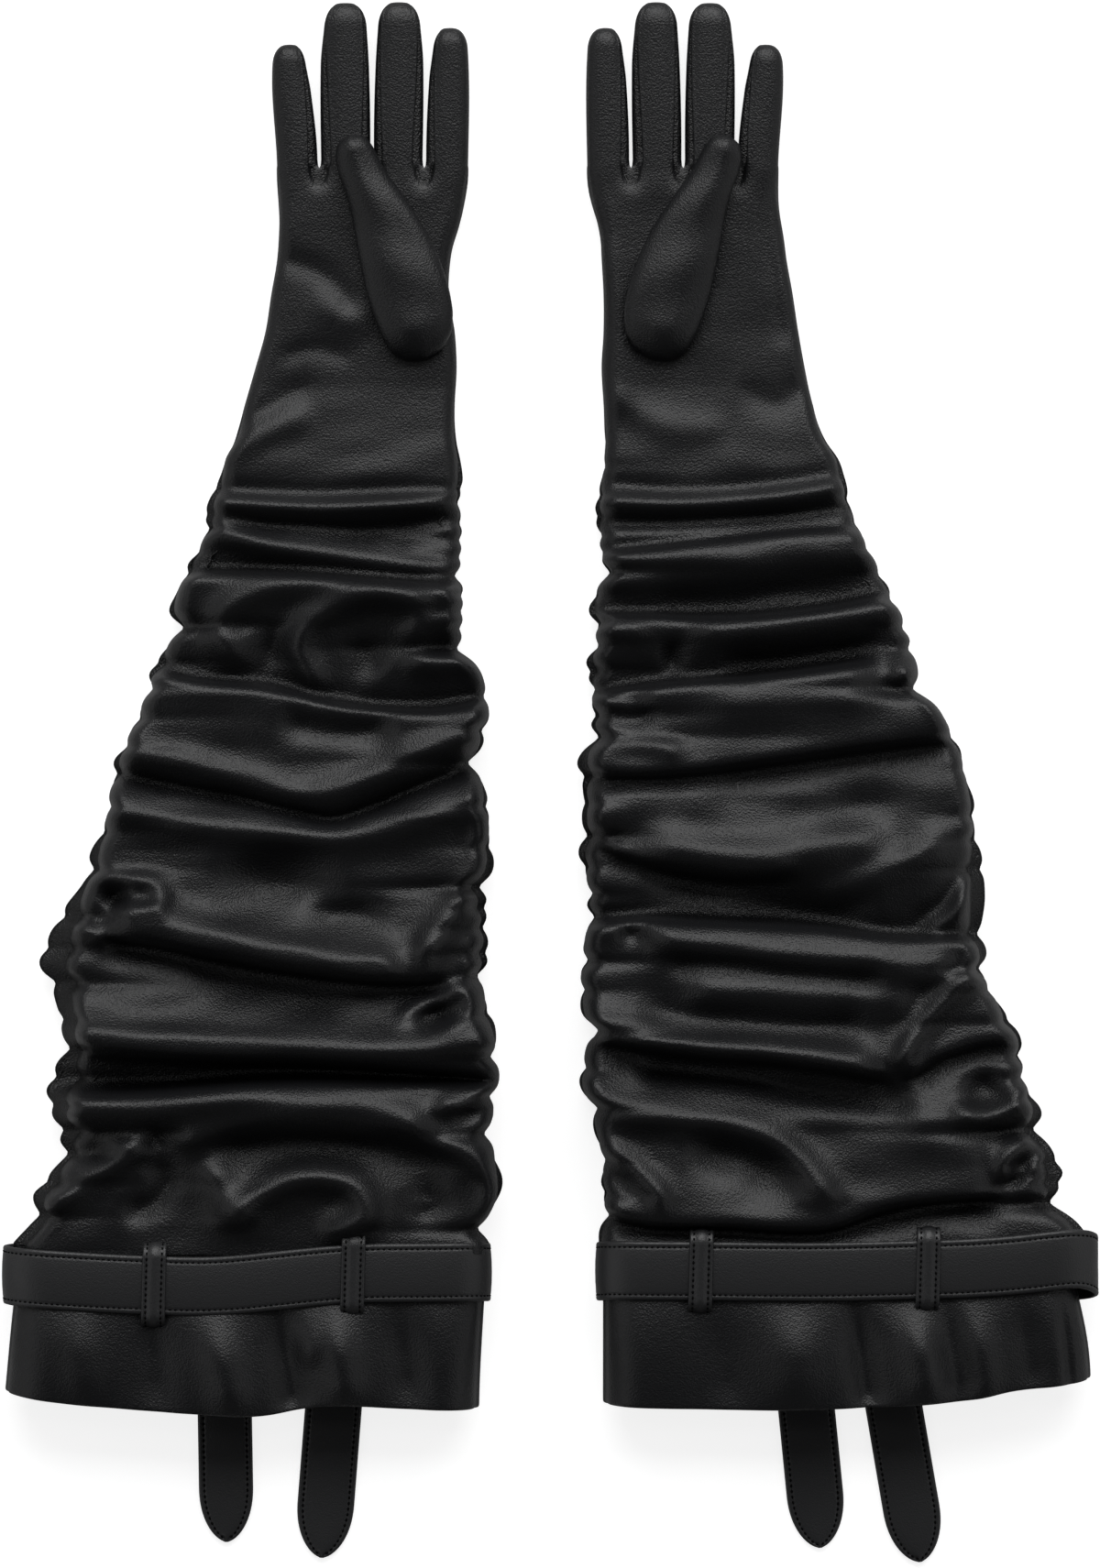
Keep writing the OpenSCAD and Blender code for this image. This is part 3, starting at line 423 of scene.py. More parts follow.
def glove_plan(side):
    """The places of one glove that every piece is laid out from."""
    low, high = box_mm(f"{side}_forearm_front", f"{side}_forearm_back",
                       f"{side}_sleeve_front", f"{side}_sleeve_back")
    wrist = np.array(joint(f"{side}_wrist")["pos_m"]) / MM
    fingers = []
    for name in FINGERS:
        fold = np.array(joint(f"{side}_{name}_knuckle")["pos_m"]) / MM
        tip = box_mm(f"{side}_{name}_tip_front")
        fingers.append({"name": name, "x": fold[0], "fold": fold[1], "tip": tip[1][1],
                        "half": (tip[1][0] - tip[0][0]) / 2})
    fingers.sort(key=lambda f: f["x"])
    for finger in fingers:
        finger["room"] = [0.0, 0.0]
        lean, reach = FINGER_LEAN[finger["name"]]
        finger["shift"] = lean * SIGN[side]
        finger["tip"] += reach
    for a, b in zip(fingers[:-1], fingers[1:]):
        a["room"][1] = (b["x"] - b["half"] - a["x"] - a["half"]) / 2 - 0.12
        b["room"][0] = (b["x"] - b["half"] - a["x"] - a["half"]) / 2 - 0.12
    crotch = box_mm(f"{side}_fourchettes")[0][1] + 1.2
    return {"side": side, "low": low, "high": high, "wrist": wrist, "fingers": fingers, "crotch": crotch}


def sleeve_place(plan, line):
    """Turns percentages of the sleeve into millimetres."""
    line = np.array(line, float)
    low, size = plan["low"], plan["high"] - plan["low"]
    return np.column_stack([low[0] + size[0] * line[:, 0] / 100, low[1] + size[1] * line[:, 1] / 100])


# ---- Folds ----

def rounded(line):
    """The same line with its corners rounded into one flowing curve."""
    if len(line) < 3:
        return line
    run = np.concatenate([[0], np.cumsum(np.hypot(*np.diff(line, axis=0).T))])
    at = np.linspace(0, run[-1], 5 * (len(line) - 1) + 1)
    return np.column_stack([smooth_table(np.column_stack([run, line[:, k]]), at) for k in (0, 1)])


def line_distance(x, y, line, width):
    """Distance of points from a line of corners, + on its finger side, and a fade towards its ends."""
    best = np.full(x.shape, 1e9)
    side = np.zeros(x.shape)
    along = np.zeros(x.shape)
    run = 0.0
    for a, b in zip(line[:-1], line[1:]):
        step = b - a
        length = max(1e-6, math.hypot(*step))
        t = np.clip(((x - a[0]) * step[0] + (y - a[1]) * step[1]) / length ** 2, 0, 1)
        dx, dy = x - a[0] - t * step[0], y - a[1] - t * step[1]
        d = np.hypot(dx, dy)
        nearer = d < best
        best = np.where(nearer, d, best)
        side = np.where(nearer, np.sign(step[0] * dy - step[1] * dx), side)
        along = np.where(nearer, run + t * length, along)
        run += length
    taper = min(max(14.0, 2.2 * width), 0.5 * run)
    return best * side, ease(along / taper + 0.1) * ease((run - along) / taper + 0.1)


def fold_section(kind, h, w, d):
    """Height and lean of one fold of a height and width, at some distances from its line."""
    away = np.abs(d)
    if kind == "ridge":
        return h * np.exp(-(away / w) ** 2), 0
    if kind == "hollow":
        return -h * np.exp(-(away / w) ** 1.7), 0
    if kind == "crease":
        return -h * np.exp(-np.sqrt(d * d + 0.6) / w), 0
    turn = -1 if kind == "lip" else 1
    crest = d * turn > 0
    reach = np.where(crest, 2.3 * w, 1.4 * w)
    z = turn * h * np.tanh(d / 2.6) * np.exp(-(away / reach) ** 1.35) * np.where(crest, 0.8, 0.95)
    lap = min(0.2 * h, 1.5) * np.exp(-away / (0.6 * w))
    return z, -lap * (0.75 * np.tanh(d / 2.2) + 0.25 * turn)


def fold_field(x, y, folds, place, depth=1.0):
    """Height of the folds at some points, and how far each tuck's lip leans over its hollow."""
    height = np.zeros(x.shape)
    lean = np.zeros(x.shape)
    for kind, h, w, corners in folds:
        line = place(corners)
        if line[0][0] > line[-1][0] and kind in ("lip", "brow"):
            line = line[::-1]
        line = rounded(line)
        run = np.hypot(*np.diff(line, axis=0).T).sum()
        reach = 4.5 * w
        near = ((x > line[:, 0].min() - reach) & (x < line[:, 0].max() + reach)
                & (y > line[:, 1].min() - reach) & (y < line[:, 1].max() + reach))
        d, fade = line_distance(x[near], y[near], line, w)
        z, shift = fold_section(kind, h * depth * ease(0.25 + run / (5 * w)), w, d)
        height[near] += z * fade
        lean[near] += shift * fade
    return height, lean


def ripples(x, y, seed, wave):
    """Small seeded swells about 1 high."""
    rng = np.random.default_rng(seed)
    count = 7
    total = np.zeros(np.broadcast(x, y).shape)
    for _ in range(count):
        angle = rng.uniform(0, math.pi)
        k = 2 * math.pi / (wave * rng.uniform(0.7, 1.5))
        total = total + np.sin(k * (x * math.cos(angle) + y * math.sin(angle)) + rng.uniform(0, 6.28))
    return total / math.sqrt(count)


def blur(grid, passes):
    """Evens out a grid along both ways."""
    for _ in range(passes):
        pad = np.pad(grid, 1, mode="edge")
        grid = (pad[1:-1, 1:-1] * 4 + pad[:-2, 1:-1] + pad[2:, 1:-1] + pad[1:-1, :-2] + pad[1:-1, 2:]) / 8
    return grid


# ---- Laying out surfaces ----

class Shell:
    """Points and faces of one surface while it is laid out, with each face's part by name."""

    def __init__(self):
        self.points = []
        self.hollow = []
        self.faces = []
        self.parts = []

    def add(self, points, hollow=None):
        """Adds points and gives their numbers."""
        start = len(self.points)
        self.points.extend(map(tuple, points))
        self.hollow.extend(hollow if hollow is not None else [0.0] * len(points))
        return list(range(start, len(self.points)))

    def strip(self, a, b, part="all"):
        """Joins two closed rows of equal count with quads."""
        for a0, a1, b0, b1 in zip(a, a[1:] + a[:1], b, b[1:] + b[:1]):
            self.faces.append((a0, a1, b1, b0))
            self.parts.append(part)

    def cap(self, row, centre=None, part="all", flip=False):
        """Closes a row of points over one middle point, its mean unless one is given."""
        if centre is None:
            centre = np.array([self.points[n] for n in row]).mean(axis=0)
        tip = self.add([centre])[0]
        for a, b in zip(row, row[1:] + row[:1]):
            self.faces.append((b, a, tip) if flip else (a, b, tip))
            self.parts.append(part)

    def lid(self, row):
        """Closes a row of points with one flat face."""
        self.faces.append(tuple(row))
        self.parts.append("all")

    def face_outwards(self):
        """Turns every face of a closed surface round if it encloses its space inside out."""
        p = np.array(self.points)
        corners = np.array([(f[0], f[i], f[i + 1]) for f in self.faces for i in range(1, len(f) - 1)])
        a, b, c = (p[corners[:, k]] for k in range(3))
        if np.einsum("ij,ij->i", a, np.cross(b, c)).sum() < 0:
            self.faces = [f[::-1] for f in self.faces]

    def normals(self):
        """One smooth normal for each point."""
        p = np.array(self.points)
        out = np.zeros(p.shape)
        for size in (3, 4):
            f = np.array([q for q in self.faces if len(q) == size], int)
            if not len(f):
                continue
            first, second = ((0, 1), (0, 2)) if size == 3 else ((0, 2), (1, 3))
            n = np.cross(p[f[:, first[1]]] - p[f[:, first[0]]], p[f[:, second[1]]] - p[f[:, second[0]]])
            for c in range(size):
                np.add.at(out, f[:, c], n)
        length = np.linalg.norm(out, axis=1)
        length[length == 0] = 1
        return out / length[:, None]

    def build(self, name, part=None, normals=None):
        """Makes a Blender object of one part, or of the whole surface."""
        faces = [f for f, p in zip(self.faces, self.parts) if part is None or p == part]
        used = sorted({i for f in faces for i in f})
        number = {old: new for new, old in enumerate(used)}
        points = np.array(self.points)[used] * MM
        mesh = bpy.data.meshes.new(name)
        mesh.from_pydata(points.tolist(), [], [[number[i] for i in f] for f in faces])
        mesh.polygons.foreach_set("use_smooth", [True] * len(mesh.polygons))
        rest = mesh.attributes.new("rest", "FLOAT_VECTOR", "POINT")
        rest.data.foreach_set("vector", points.astype(np.float32).ravel())
        # The hollow attribute carries painted shade: how far the leather's colour is darkened at each point.
        # It also deepens the grain.
        hollow = mesh.attributes.new("hollow", "FLOAT", "POINT")
        hollow.data.foreach_set("value", np.array(self.hollow, np.float32)[used])
        if normals is not None:
            mesh.normals_split_custom_set_from_vertices(normals[used].tolist())
        mesh.update()
        piece = bpy.data.objects.new(name, mesh)
        bpy.context.scene.collection.objects.link(piece)
        return piece


def finish_piece(piece, material):
    """Gives a piece its material."""
    piece.data.materials.append(material)


# ---- Glove body ----

def finger_turns():
    """The angles round a finger: its front, high side, back and low side."""
    front = np.linspace(-FRONT_TURN, FRONT_TURN, FRONT_STEPS + 1)
    side = FRONT_TURN + (math.pi - BACK_TURN - FRONT_TURN) * np.arange(1, SIDE_STEPS + 1) / (SIDE_STEPS + 1)
    back = np.linspace(math.pi - BACK_TURN, math.pi + BACK_TURN, BACK_STEPS + 1)
    return front, side, back, 2 * math.pi - side[::-1]


def seam_groove(d):
    """Depth of a sewn groove across a seam, with a raised lip beside it and a lower side strip."""
    return 1.25 * np.exp(-d * d) - 0.45 * np.exp(-((d + 1.9) / 0.9) ** 2) + 0.5 * ease(d / 2)


def finger_ring(finger, scale=1.0, tall=1.0, grooves=(0.0, 0.0), t=0.0):
    """One ring of a finger: front from low X to high X, high side, back, low side, as (x, z) rows."""
    half_w = finger["half"] * scale
    centre = finger["x"] + finger["shift"] * ease(t * 1.15)
    full = ease((0.92 - t) / 0.3)
    half_h = FINGER_HALF_HEIGHT * tall
    middle = 0.3 + FINGER_HALF_HEIGHT * (0.35 + 0.65 * tall)
    rows = []
    for turn in finger_turns():
        deep = np.zeros(turn.shape)
        for sign, depth in zip((-1, 1), grooves):
            deep += depth * seam_groove(seam_steps(turn, sign, t))
        s, c = np.sin(turn), np.cos(turn)
        gap = np.where(s > 0, finger["room"][1], finger["room"][0])
        fork = gap * full * ease((np.abs(s) - 0.72) / 0.2) * (0.4 + 0.6 * scale)
        x = np.sign(s) * (np.abs(s) ** FINGER_ROUNDNESS * (half_w - deep) + fork)
        z = np.sign(c) * np.abs(c) ** FINGER_ROUNDNESS * (half_h - deep)
        rows.append(np.column_stack([centre + x, np.maximum(LEAST_Z, middle + z)]))
    return rows


def seam_steps(turn, sign, t):
    """How far points round a finger lie from one of its front seams, + towards the side strip."""
    seam = sign * math.radians(SEAM_ROOT + SEAM_SHIFT * ease(t * 1.1))
    return sign * (np.mod(turn - seam + math.pi, 2 * math.pi) - math.pi) / math.radians(5.2)


def side_painted_shade(turn, sign, t):
    """How much painted shade darkens a finger's side strip and the groove of its seam."""
    d = seam_steps(turn, sign, t)
    return np.maximum(np.exp(-d * d), 0.72 * ease(d / 1.5) * (np.abs(turn) < math.pi))


def finger_rows(finger, crotch):
    """Y, width, height and share of the length of each ring, and the ring where the fingertip starts."""
    split = finger["fold"] - 6
    round_start = finger["tip"] - finger["half"] * 0.98
    rows, counts = [], []
    for start, end in ((crotch, split), (split, round_start)):
        count = max(3, int((end - start) / ROW))
        rows += [(start + (end - start) * i / count, 0.0) for i in range(1, count + 1)]
        counts.append(count)
    for i in range(1, 13):
        turn = math.pi / 2 * min(i / 12.4, 1)
        rows.append((round_start + (finger["tip"] - round_start) * math.sin(turn), turn))
    out = []
    for y, turn in rows:
        t = (y - crotch) / (finger["tip"] - crotch)
        slim = FINGER_SLIM[finger["name"]] * t ** 2.2
        wide = (0.98 - slim + 0.03 * math.sin(math.pi * t)) * math.cos(turn) ** 0.7
        tall = (1.0 - 0.04 * t) * math.cos(turn) ** 0.5
        out.append((y, wide, tall, t))
    return out, counts[0]


def outline_at(plan, y):
    """Low and high X of the front panel at some Y, with its gathers drawn in, and how far they are."""
    low, size = plan["low"], plan["high"] - plan["low"]
    along = (y - low[1]) / size[1] * 100
    rows = OUTLINES[plan["side"]]
    edges = [low[0] + size[0] * smooth_table(rows, along, c) / 100 for c in (1, 2)]
    notch = []
    for gathers in GATHERS[plan["side"]]:
        pull = np.zeros(np.shape(y))
        for at, depth in gathers:
            width = 0.55 + 0.14 * depth
            pull = pull + (0.1 + 1.45 * depth) * np.exp(-(np.abs(along - at) / width) ** 1.6)
        notch.append(pull)
    return edges[0] + notch[0], edges[1] - notch[1], notch


def reach_edges(plan, corners):
    """A fold's line in millimetres, carried on past the panel's edge where it ends beside it."""
    line = sleeve_place(plan, corners)
    for end, before in ((0, 1), (-1, -2)):
        x0, x1, _ = outline_at(plan, line[end, 1:])
        if line[end, 0] < x0[0] + 9 or line[end, 0] > x1[0] - 9:
            step = line[end] - line[before]
            extra = line[end] + step / max(1.0, np.hypot(*step)) * 26
            line = np.vstack([extra, line]) if end == 0 else np.vstack([line, extra])
    return line


def sleeve_levels(plan, along):
    """Z of the front panel's top, of the underside and of the side edges, at places along the sleeve."""
    low, size = plan["low"], plan["high"] - plan["low"]
    top = (low[2] + size[2] * smooth_table(SLEEVE_TOP, along) / 100)[:, None]
    top = np.where(along[:, None] > 100, plan["wrist"][2], top)
    under = (size[2] * np.interp(along, *zip(*SLEEVE_UNDER)) / 100)[:, None] + 0.3
    return top, under, under + (top - under) * EDGE_LEVEL


def front_folds(plan, x, y, near_low, near_high, notch, on_hand, depth):
    """Height that folds, gathers and ripples add to the front panel, and how far its tucks lean."""
    side = plan["side"]
    near = np.minimum(near_low, near_high)
    folds, lean = fold_field(x, y, SLEEVE_FOLDS[side], lambda line: reach_edges(plan, line), depth)
    folds = folds * (1.75 - 0.35 * on_hand)
    keep = 0.8 + 0.2 * ease(near / 8)
    by_belt = ease((y[:, :1] - plan["low"][1] + 14) / 16)
    gather = np.zeros(x.shape)
    for pull, away in zip(notch, (near_low, near_high)):
        gather -= (pull[:, None] * 1.25) * np.exp(-away / (9 + 3 * pull[:, None])) * ease(away / 3 + 0.3)
    swell = 1 - on_hand
    other = side == "left"
    fine = ripples(x * 0.35, y, 5 + other, 11) * np.exp(-near / 16) * 0.18 * swell
    soft = ripples(x, y, 11 + other, 46) * (0.55 * swell + 0.22 * on_hand)
    small = ripples(x * 0.5, y, 21 + other, 19) * (0.28 * swell + 0.05)
    rise = folds * keep * by_belt + gather + fine + (soft + small) * keep
    return rise, lean * keep * by_belt * ease(near / 10)


def front_panel(plan, rows, levels, on_hand, edges, depth):
    """The gathered front panel as a grid of points, and how deep each one lies in a hollow, which sets the
    painted shade there.
    """
    top, under, edge = levels
    x0, x1, notch = edges
    count = 4 * FRONT_STEPS
    j = np.arange(count + 1) / count
    spread = 0.6 * j + 0.4 * (1 - np.cos(math.pi * j)) / 2
    x = x0 + (x1 - x0) * spread[None, :]
    y = np.repeat(rows[:, None], count + 1, axis=1)
    near_low, near_high = x - x0, x1 - x
    radius = 8.5 - 1 * on_hand
    crown = dome(near_low / radius) * dome(near_high / radius)
    belly = 1 - (2 * (x - x0) / (x1 - x0) - 1) ** 2
    z = edge + (top - edge) * crown * (0.93 + 0.07 * belly)
    rise, lean = front_folds(plan, x, y, near_low, near_high, notch, on_hand, depth)
    z = z + rise
    # Hollows level off softly above the underside, and folds stop a little above the sleeve's top
    floor_z = under + 4
    z = floor_z + np.log1p(np.exp(np.clip((z - floor_z) / 2, -30, 30))) * 2
    z = blur(np.minimum(z, plan["high"][2] + FOLD_ROOM), 3)
    # Painted shade: points that lie below their blurred surroundings get a darker leather colour and deeper
    # grain
    hollow = np.clip((blur(z, 60) - z) / 6, 0, 1)
    return np.stack([x, y + lean, z], axis=-1), hollow


def side_strip(rows, front_edge, x, bulge, shows, back_edge):
    """The strip round one side seam, pinched in at the seam and reaching out to the back panel."""
    q = (np.arange(1, SIDE_STEPS + 1) / (SIDE_STEPS + 1))[None, :]
    y = np.repeat(rows[:, None], SIDE_STEPS, axis=1)
    return np.stack([x - bulge * np.sin(math.pi * q) + shows * ease(q), y,
                     front_edge + (back_edge - front_edge) * q], axis=-1)


def back_panel(rows, x0, x1, under, back_edge, swell):
    """The back panel as a grid of points, from high X to low X."""
    j = np.arange(4 * BACK_STEPS + 1)[::-1] / (4 * BACK_STEPS)
    j = 0.45 * j + 0.55 * (1 - np.cos(math.pi * j)) / 2
    x = x0 + (x1 - x0) * j[None, :]
    y = np.repeat(rows[:, None], x.shape[1], axis=1)
    near = np.minimum(x - x0, x1 - x)
    lift = ripples(x * 0.35, y, 41, 15) * 1.1 * swell * ease(near / 12) + 1.4 * swell
    z = back_edge + (under - back_edge) * dome(near / (5 + 7 * swell)) + np.maximum(0, lift)
    return np.stack([x, y, np.maximum(z, LEAST_Z)], axis=-1)


def sleeve_surface(plan, rows, depth):
    """The ring points of the sleeve and hand at each row: front, high side, back, low side."""
    along = (rows - plan["low"][1]) / (plan["high"][1] - plan["low"][1]) * 100
    on_hand = ease((along - 84) / 16)[:, None]
    swell = 1 - on_hand
    levels = sleeve_levels(plan, along)
    x0, x1, notch = outline_at(plan, rows)
    x0, x1 = x0[:, None], x1[:, None]
    front, hollow = front_panel(plan, rows, levels, on_hand, (x0, x1, notch), depth)
    _, under, edge = levels
    shows = [smooth_table(t, along)[:, None] * (1 - 0.75 * on_hand)
             + (ripples(rows, rows * 0.0, 31 + i, 30) * 1.7)[:, None] * swell
             for i, t in enumerate(BACK_SHOWS[plan["side"]])]
    back_edge = under + (edge - under) * 0.5
    pinch = 2.6 * swell + 0.5
    high_side = side_strip(rows, front[:, -1:, 2], x1, pinch, shows[1], back_edge)
    low_side = side_strip(rows, front[:, :1, 2], x0, -pinch, -shows[0], back_edge)[:, ::-1]
    back = back_panel(rows, x0 - shows[0], x1 + shows[1], under, back_edge, swell)
    return front, high_side, back, low_side, hollow


def hand_style(plan):
    """The ring of the hand at the crotch, made of its four finger rings, and the walls between fingers."""
    rings = [finger_ring(f) for f in plan["fingers"]]
    front = np.zeros((4 * FRONT_STEPS + 1, 2))
    back = np.zeros((4 * BACK_STEPS + 1, 2))
    shares = np.zeros(len(front))
    back_shares = np.zeros(len(back))
    for i, ring in enumerate(rings):
        front[i * FRONT_STEPS:(i + 1) * FRONT_STEPS + 1] += ring[0]
        shares[i * FRONT_STEPS:(i + 1) * FRONT_STEPS + 1] += 1
        at = (3 - i) * BACK_STEPS
        back[at:at + BACK_STEPS + 1] += ring[2]
        back_shares[at:at + BACK_STEPS + 1] += 1
    walls = [(a[1] + b[3][::-1]) / 2 for a, b in zip(rings[:-1], rings[1:])]
    return front / shares[:, None], rings[3][1], back / back_shares[:, None], rings[0][3], walls


def crotch_seams(plan, front):
    """The U of each side strip's seam where it turns round between two fingers, 1 deep."""
    x, y = front[:, :, 0], front[:, :, 1]
    total = np.zeros(x.shape)
    for a, b in zip(plan["fingers"][:-1], plan["fingers"][1:]):
        reach = [f["half"] * (1 - math.sin(math.radians(SEAM_ROOT)) ** FINGER_ROUNDNESS) for f in (a, b)]
        middle = (a["x"] + a["half"] + b["x"] - b["half"]) / 2
        turn = np.linspace(0, math.pi, 13)
        wide = sum(reach) / 2 + 0.6
        line = np.column_stack([middle - wide * np.cos(turn), plan["crotch"] + 2 - 9.5 * np.sin(turn) ** 0.8])
        d, _ = line_distance(x, y, line, 1.0)
        total = np.maximum(total, np.exp(-(d / 1.15) ** 2) - 0.35 * np.exp(-((np.abs(d) - 2.3) / 1.1) ** 2))
    return total


def join_hand(plan, rows, grids, hollow, style):
    """Leads the rings of the hand over into the four finger rings, sinks the seams between them, and gives
    the painted shade of the hand's hollows and seams.
    """
    crotch = plan["crotch"]
    blend = (ease((rows - (crotch - 17)) / 17) ** 1.3)[:, None]
    widen = ease((rows - (crotch - 40)) / 40)[:, None]
    for grid, shape in zip(grids, style[:4]):
        grid[:, :, 0] += (shape[None, :, 0] - grid[:, :, 0]) * widen
        grid[:, :, 2] += (shape[None, :, 1] - grid[:, :, 2]) * blend
    dip = crotch_seams(plan, grids[0])
    grids[0][:, :, 2] -= 1.5 * dip
    # Painted shade: the hollows' shade fades out towards the fingers, and the U seams between the fingers are
    # painted dark
    return np.maximum(hollow * (1 - blend), 0.9 * np.clip(dip, 0, 1))


def build_body(plan, depth):
    """Lays out one glove's sleeve, hand and fingers as a single surface."""
    shell = Shell()
    crotch = plan["crotch"]
    start = plan["low"][1] - 14
    rows = np.linspace(start, crotch, int((crotch - start) / ROW))
    *grids, hollow = sleeve_surface(plan, rows, depth)
    style = hand_style(plan)
    hollow = join_hand(plan, rows, grids, hollow, style)
    last = None
    for i in range(len(rows)):
        ring = np.concatenate([grid[i] for grid in grids])
        # Painted shade: the side strips and the back panel are darkened as a whole, and the front panel by
        # how deep it lies in its hollows
        shade = np.full(len(ring), 0.6)
        shade[:hollow.shape[1]] = hollow[i]
        numbers = shell.add(ring, shade.tolist())
        if last is not None:
            shell.strip(last, numbers, "body")
        last = numbers
    ends = np.cumsum([grid.shape[1] for grid in grids])
    top, high, under, low = (last[b - grid.shape[1]:b] for b, grid in zip(ends, grids))
    # The walls between the fingers get painted shade
    walls = [shell.add([(p[0], crotch, p[1]) for p in wall], [0.8] * len(wall)) for wall in style[4]]
    for i, finger in enumerate(plan["fingers"]):
        ring = list(top[i * FRONT_STEPS:(i + 1) * FRONT_STEPS + 1])
        ring += high if i == 3 else walls[i]
        at = (3 - i) * BACK_STEPS
        ring += under[at:at + BACK_STEPS + 1]
        ring += low if i == 0 else walls[i - 1][::-1]
        grow_finger(shell, plan, i, finger, ring)
    return shell


def grow_finger(shell, plan, i, finger, ring):
    """Adds one finger's rings above the crotch and closes its tip."""
    rows, split = finger_rows(finger, plan["crotch"])
    turns = np.concatenate(finger_turns())
    for k, (y, wide, tall, t) in enumerate(rows):
        seam = 1.15 * min(1, (k + 2) / 4) * (0.35 + 0.65 * tall)
        flat = np.concatenate(finger_ring(finger, wide, tall, (seam * (i > 0), seam * (i < 3)), t))
        # Painted shade on the side strips between the fingers and in their seams' grooves
        shade = np.zeros(len(flat))
        for sign, sewn in ((-1, i > 0), (1, i < 3)):
            shade = np.maximum(shade, side_painted_shade(turns, sign, t) * sewn * min(1, (k + 1) / 5))
        numbers = shell.add([(p[0], y, p[1]) for p in flat], shade.tolist())
        shell.strip(ring, numbers, "body" if k < split else finger["name"])
        ring = numbers
    middle = np.array([shell.points[n] for n in ring]).mean(axis=0)
    shell.cap(ring, (middle[0], finger["tip"], middle[2]), finger["name"])


def make_bodies(finish, sizes):
    """Both glove bodies and their fingertips."""
    for side in SIDES:
        plan = glove_plan(side)
        shell = build_body(plan, sizes.fold_depth)
        normals = shell.normals()
        body = shell.build(f"{side}_glove_leather", "body", normals)
        finish_piece(body, leather_material(finish))
        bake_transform(body)
        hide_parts(*[f"{side}_{n}" for n in ("forearm_front", "forearm_back", "sleeve_front",
                                                    "sleeve_back", "palm_front", "hand_back", "fourchettes")])
        for finger in plan["fingers"]:
            name = finger["name"]
            tip = shell.build(f"{side}_{name}_fingertip", name, normals)
            finish_piece(tip, leather_material(finish))
            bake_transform(tip)
            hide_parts(*[f"{side}_{name}_tip_{n}" for n in ("front", "back", "fourchettes")])


# ---- Thumbs ----

def thumb_plan(side):
    """Base, direction and radii of one thumb."""
    lift = joint(f"{side}_thumb_lift")
    rear = np.array(lift["pos_m"]) / MM
    along = np.array([-lift["axis"][1], lift["axis"][0]])
    across = np.array([along[1], -along[0]])
    points = node_points(f"{side}_thumb_front")
    v = (points[:, :2] - rear[:2]) @ across
    run = (points[:, :2] - rear[:2]) @ along
    base = max(abs(v.min()), v.max())
    return {"rear": rear, "along": along, "across": across, "base": base, "length": run.max(),
            "low": points[:, 2].min(), "high": points[:, 2].max()}


def thumb_ring(t, side, turns, s):
    """One ring of a thumb: a puffed section that is flat below, crumpled above and seamed at both sides."""
    run = t["length"] * s
    rear, nose = dome(run / t["base"]), dome((t["length"] - run) / (0.5 * t["base"]))
    half = t["base"] * float(smooth_table(THUMB_HALF, s))
    bow = float(smooth_table(THUMB_BOW, s)) * SIGN[side]
    tall = (t["high"] - t["low"]) * (rear ** 0.8) * (nose ** 0.8)
    tall *= 0.97 + 0.05 * math.sin(2 * math.pi * s)
    sx, cz = np.sin(turns), np.cos(turns)
    v = np.sign(sx) * np.abs(sx) ** 0.92 * half
    inner = v * SIGN[side]
    up = np.where(cz > 0, np.abs(cz) ** 0.9, 0)
    seat = t["low"] - 0.1 - 1.8 * ease(1 - run / 16)
    z = seat + 0.22 * tall + up * 0.78 * tall - np.where(cz < 0, np.abs(cz) ** 0.5 * 0.22 * tall, 0)
    z = z + 0.8 * np.exp(-((v / half if half > 0 else v) / 0.25) ** 2) * (cz > 0) * rear * nose
    seam = np.exp(-((np.degrees(turns) - 90) / 9) ** 2) + np.exp(-((np.degrees(turns) - 270) / 9) ** 2)
    v = v * (1 - 0.045 * seam * nose)
    crumple = np.sin(run * 0.17 + inner * 0.12) + 1.6 * np.exp(-((inner + 0.35 * half) / 4) ** 2)
    z = z + 0.4 * crumple * ease((cz - 0.1) / 0.4) * rear * nose
    xy = t["rear"][None, :2] + run * t["along"][None, :] + (v + bow)[:, None] * t["across"][None, :]
    return np.column_stack([xy, z])


def build_thumb(side):
    """One thumb: a puffed teardrop lying on the palm, sewn in round its wide end."""
    t = thumb_plan(side)
    shell = Shell()
    turns = np.arange(THUMB_SIDES) / THUMB_SIDES * 2 * math.pi
    ring = None
    for i in range(THUMB_RINGS + 1):
        s = 0.5 - 0.5 * math.cos(math.pi * (0.03 + 0.945 * i / THUMB_RINGS))
        numbers = shell.add(thumb_ring(t, side, turns, s))
        if ring is None:
            shell.cap(numbers, flip=True)
        else:
            shell.strip(ring, numbers)
        ring = numbers
    shell.cap(ring)
    return shell, t


def make_thumbs(finish):
    """Both thumbs."""
    for side in SIDES:
        shell, t = build_thumb(side)
        piece = shell.build(f"{side}_thumb")
        finish_piece(piece, leather_material(finish))
        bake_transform(piece)
        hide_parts(f"{side}_thumb_front", f"{side}_thumb_back")


# ---- Cuffs ----

def cuff_plan(side):
    """Corners of one cuff and its level at the belt."""
    low, high = box_mm(f"{side}_cuff_front", f"{side}_cuff_back")
    points = node_points(f"{side}_cuff_front")
    at_top = points[points[:, 1] > high[1] - 1]
    at_hem = points[points[:, 1] < low[1] + 1]
    return {"side": side, "low": low, "high": high, "top_x": (at_top[:, 0].min(), at_top[:, 0].max()),
            "hem_x": (at_hem[:, 0].min(), at_hem[:, 0].max()), "top_z": at_top[:, 2].max(),
            "hem_z": at_hem[:, 2].max(), "belt_low": box_mm(f"{side}_belt")[0][1]}


def cuff_place(plan, line):
    """Turns percentages across a cuff and down it into millimetres."""
    line = np.array(line, float)
    low, high = plan["low"], plan["high"]
    return np.column_stack([low[0] + (high[0] - low[0]) * line[:, 0] / 100,
                            high[1] - (high[1] - low[1]) * line[:, 1] / 100])


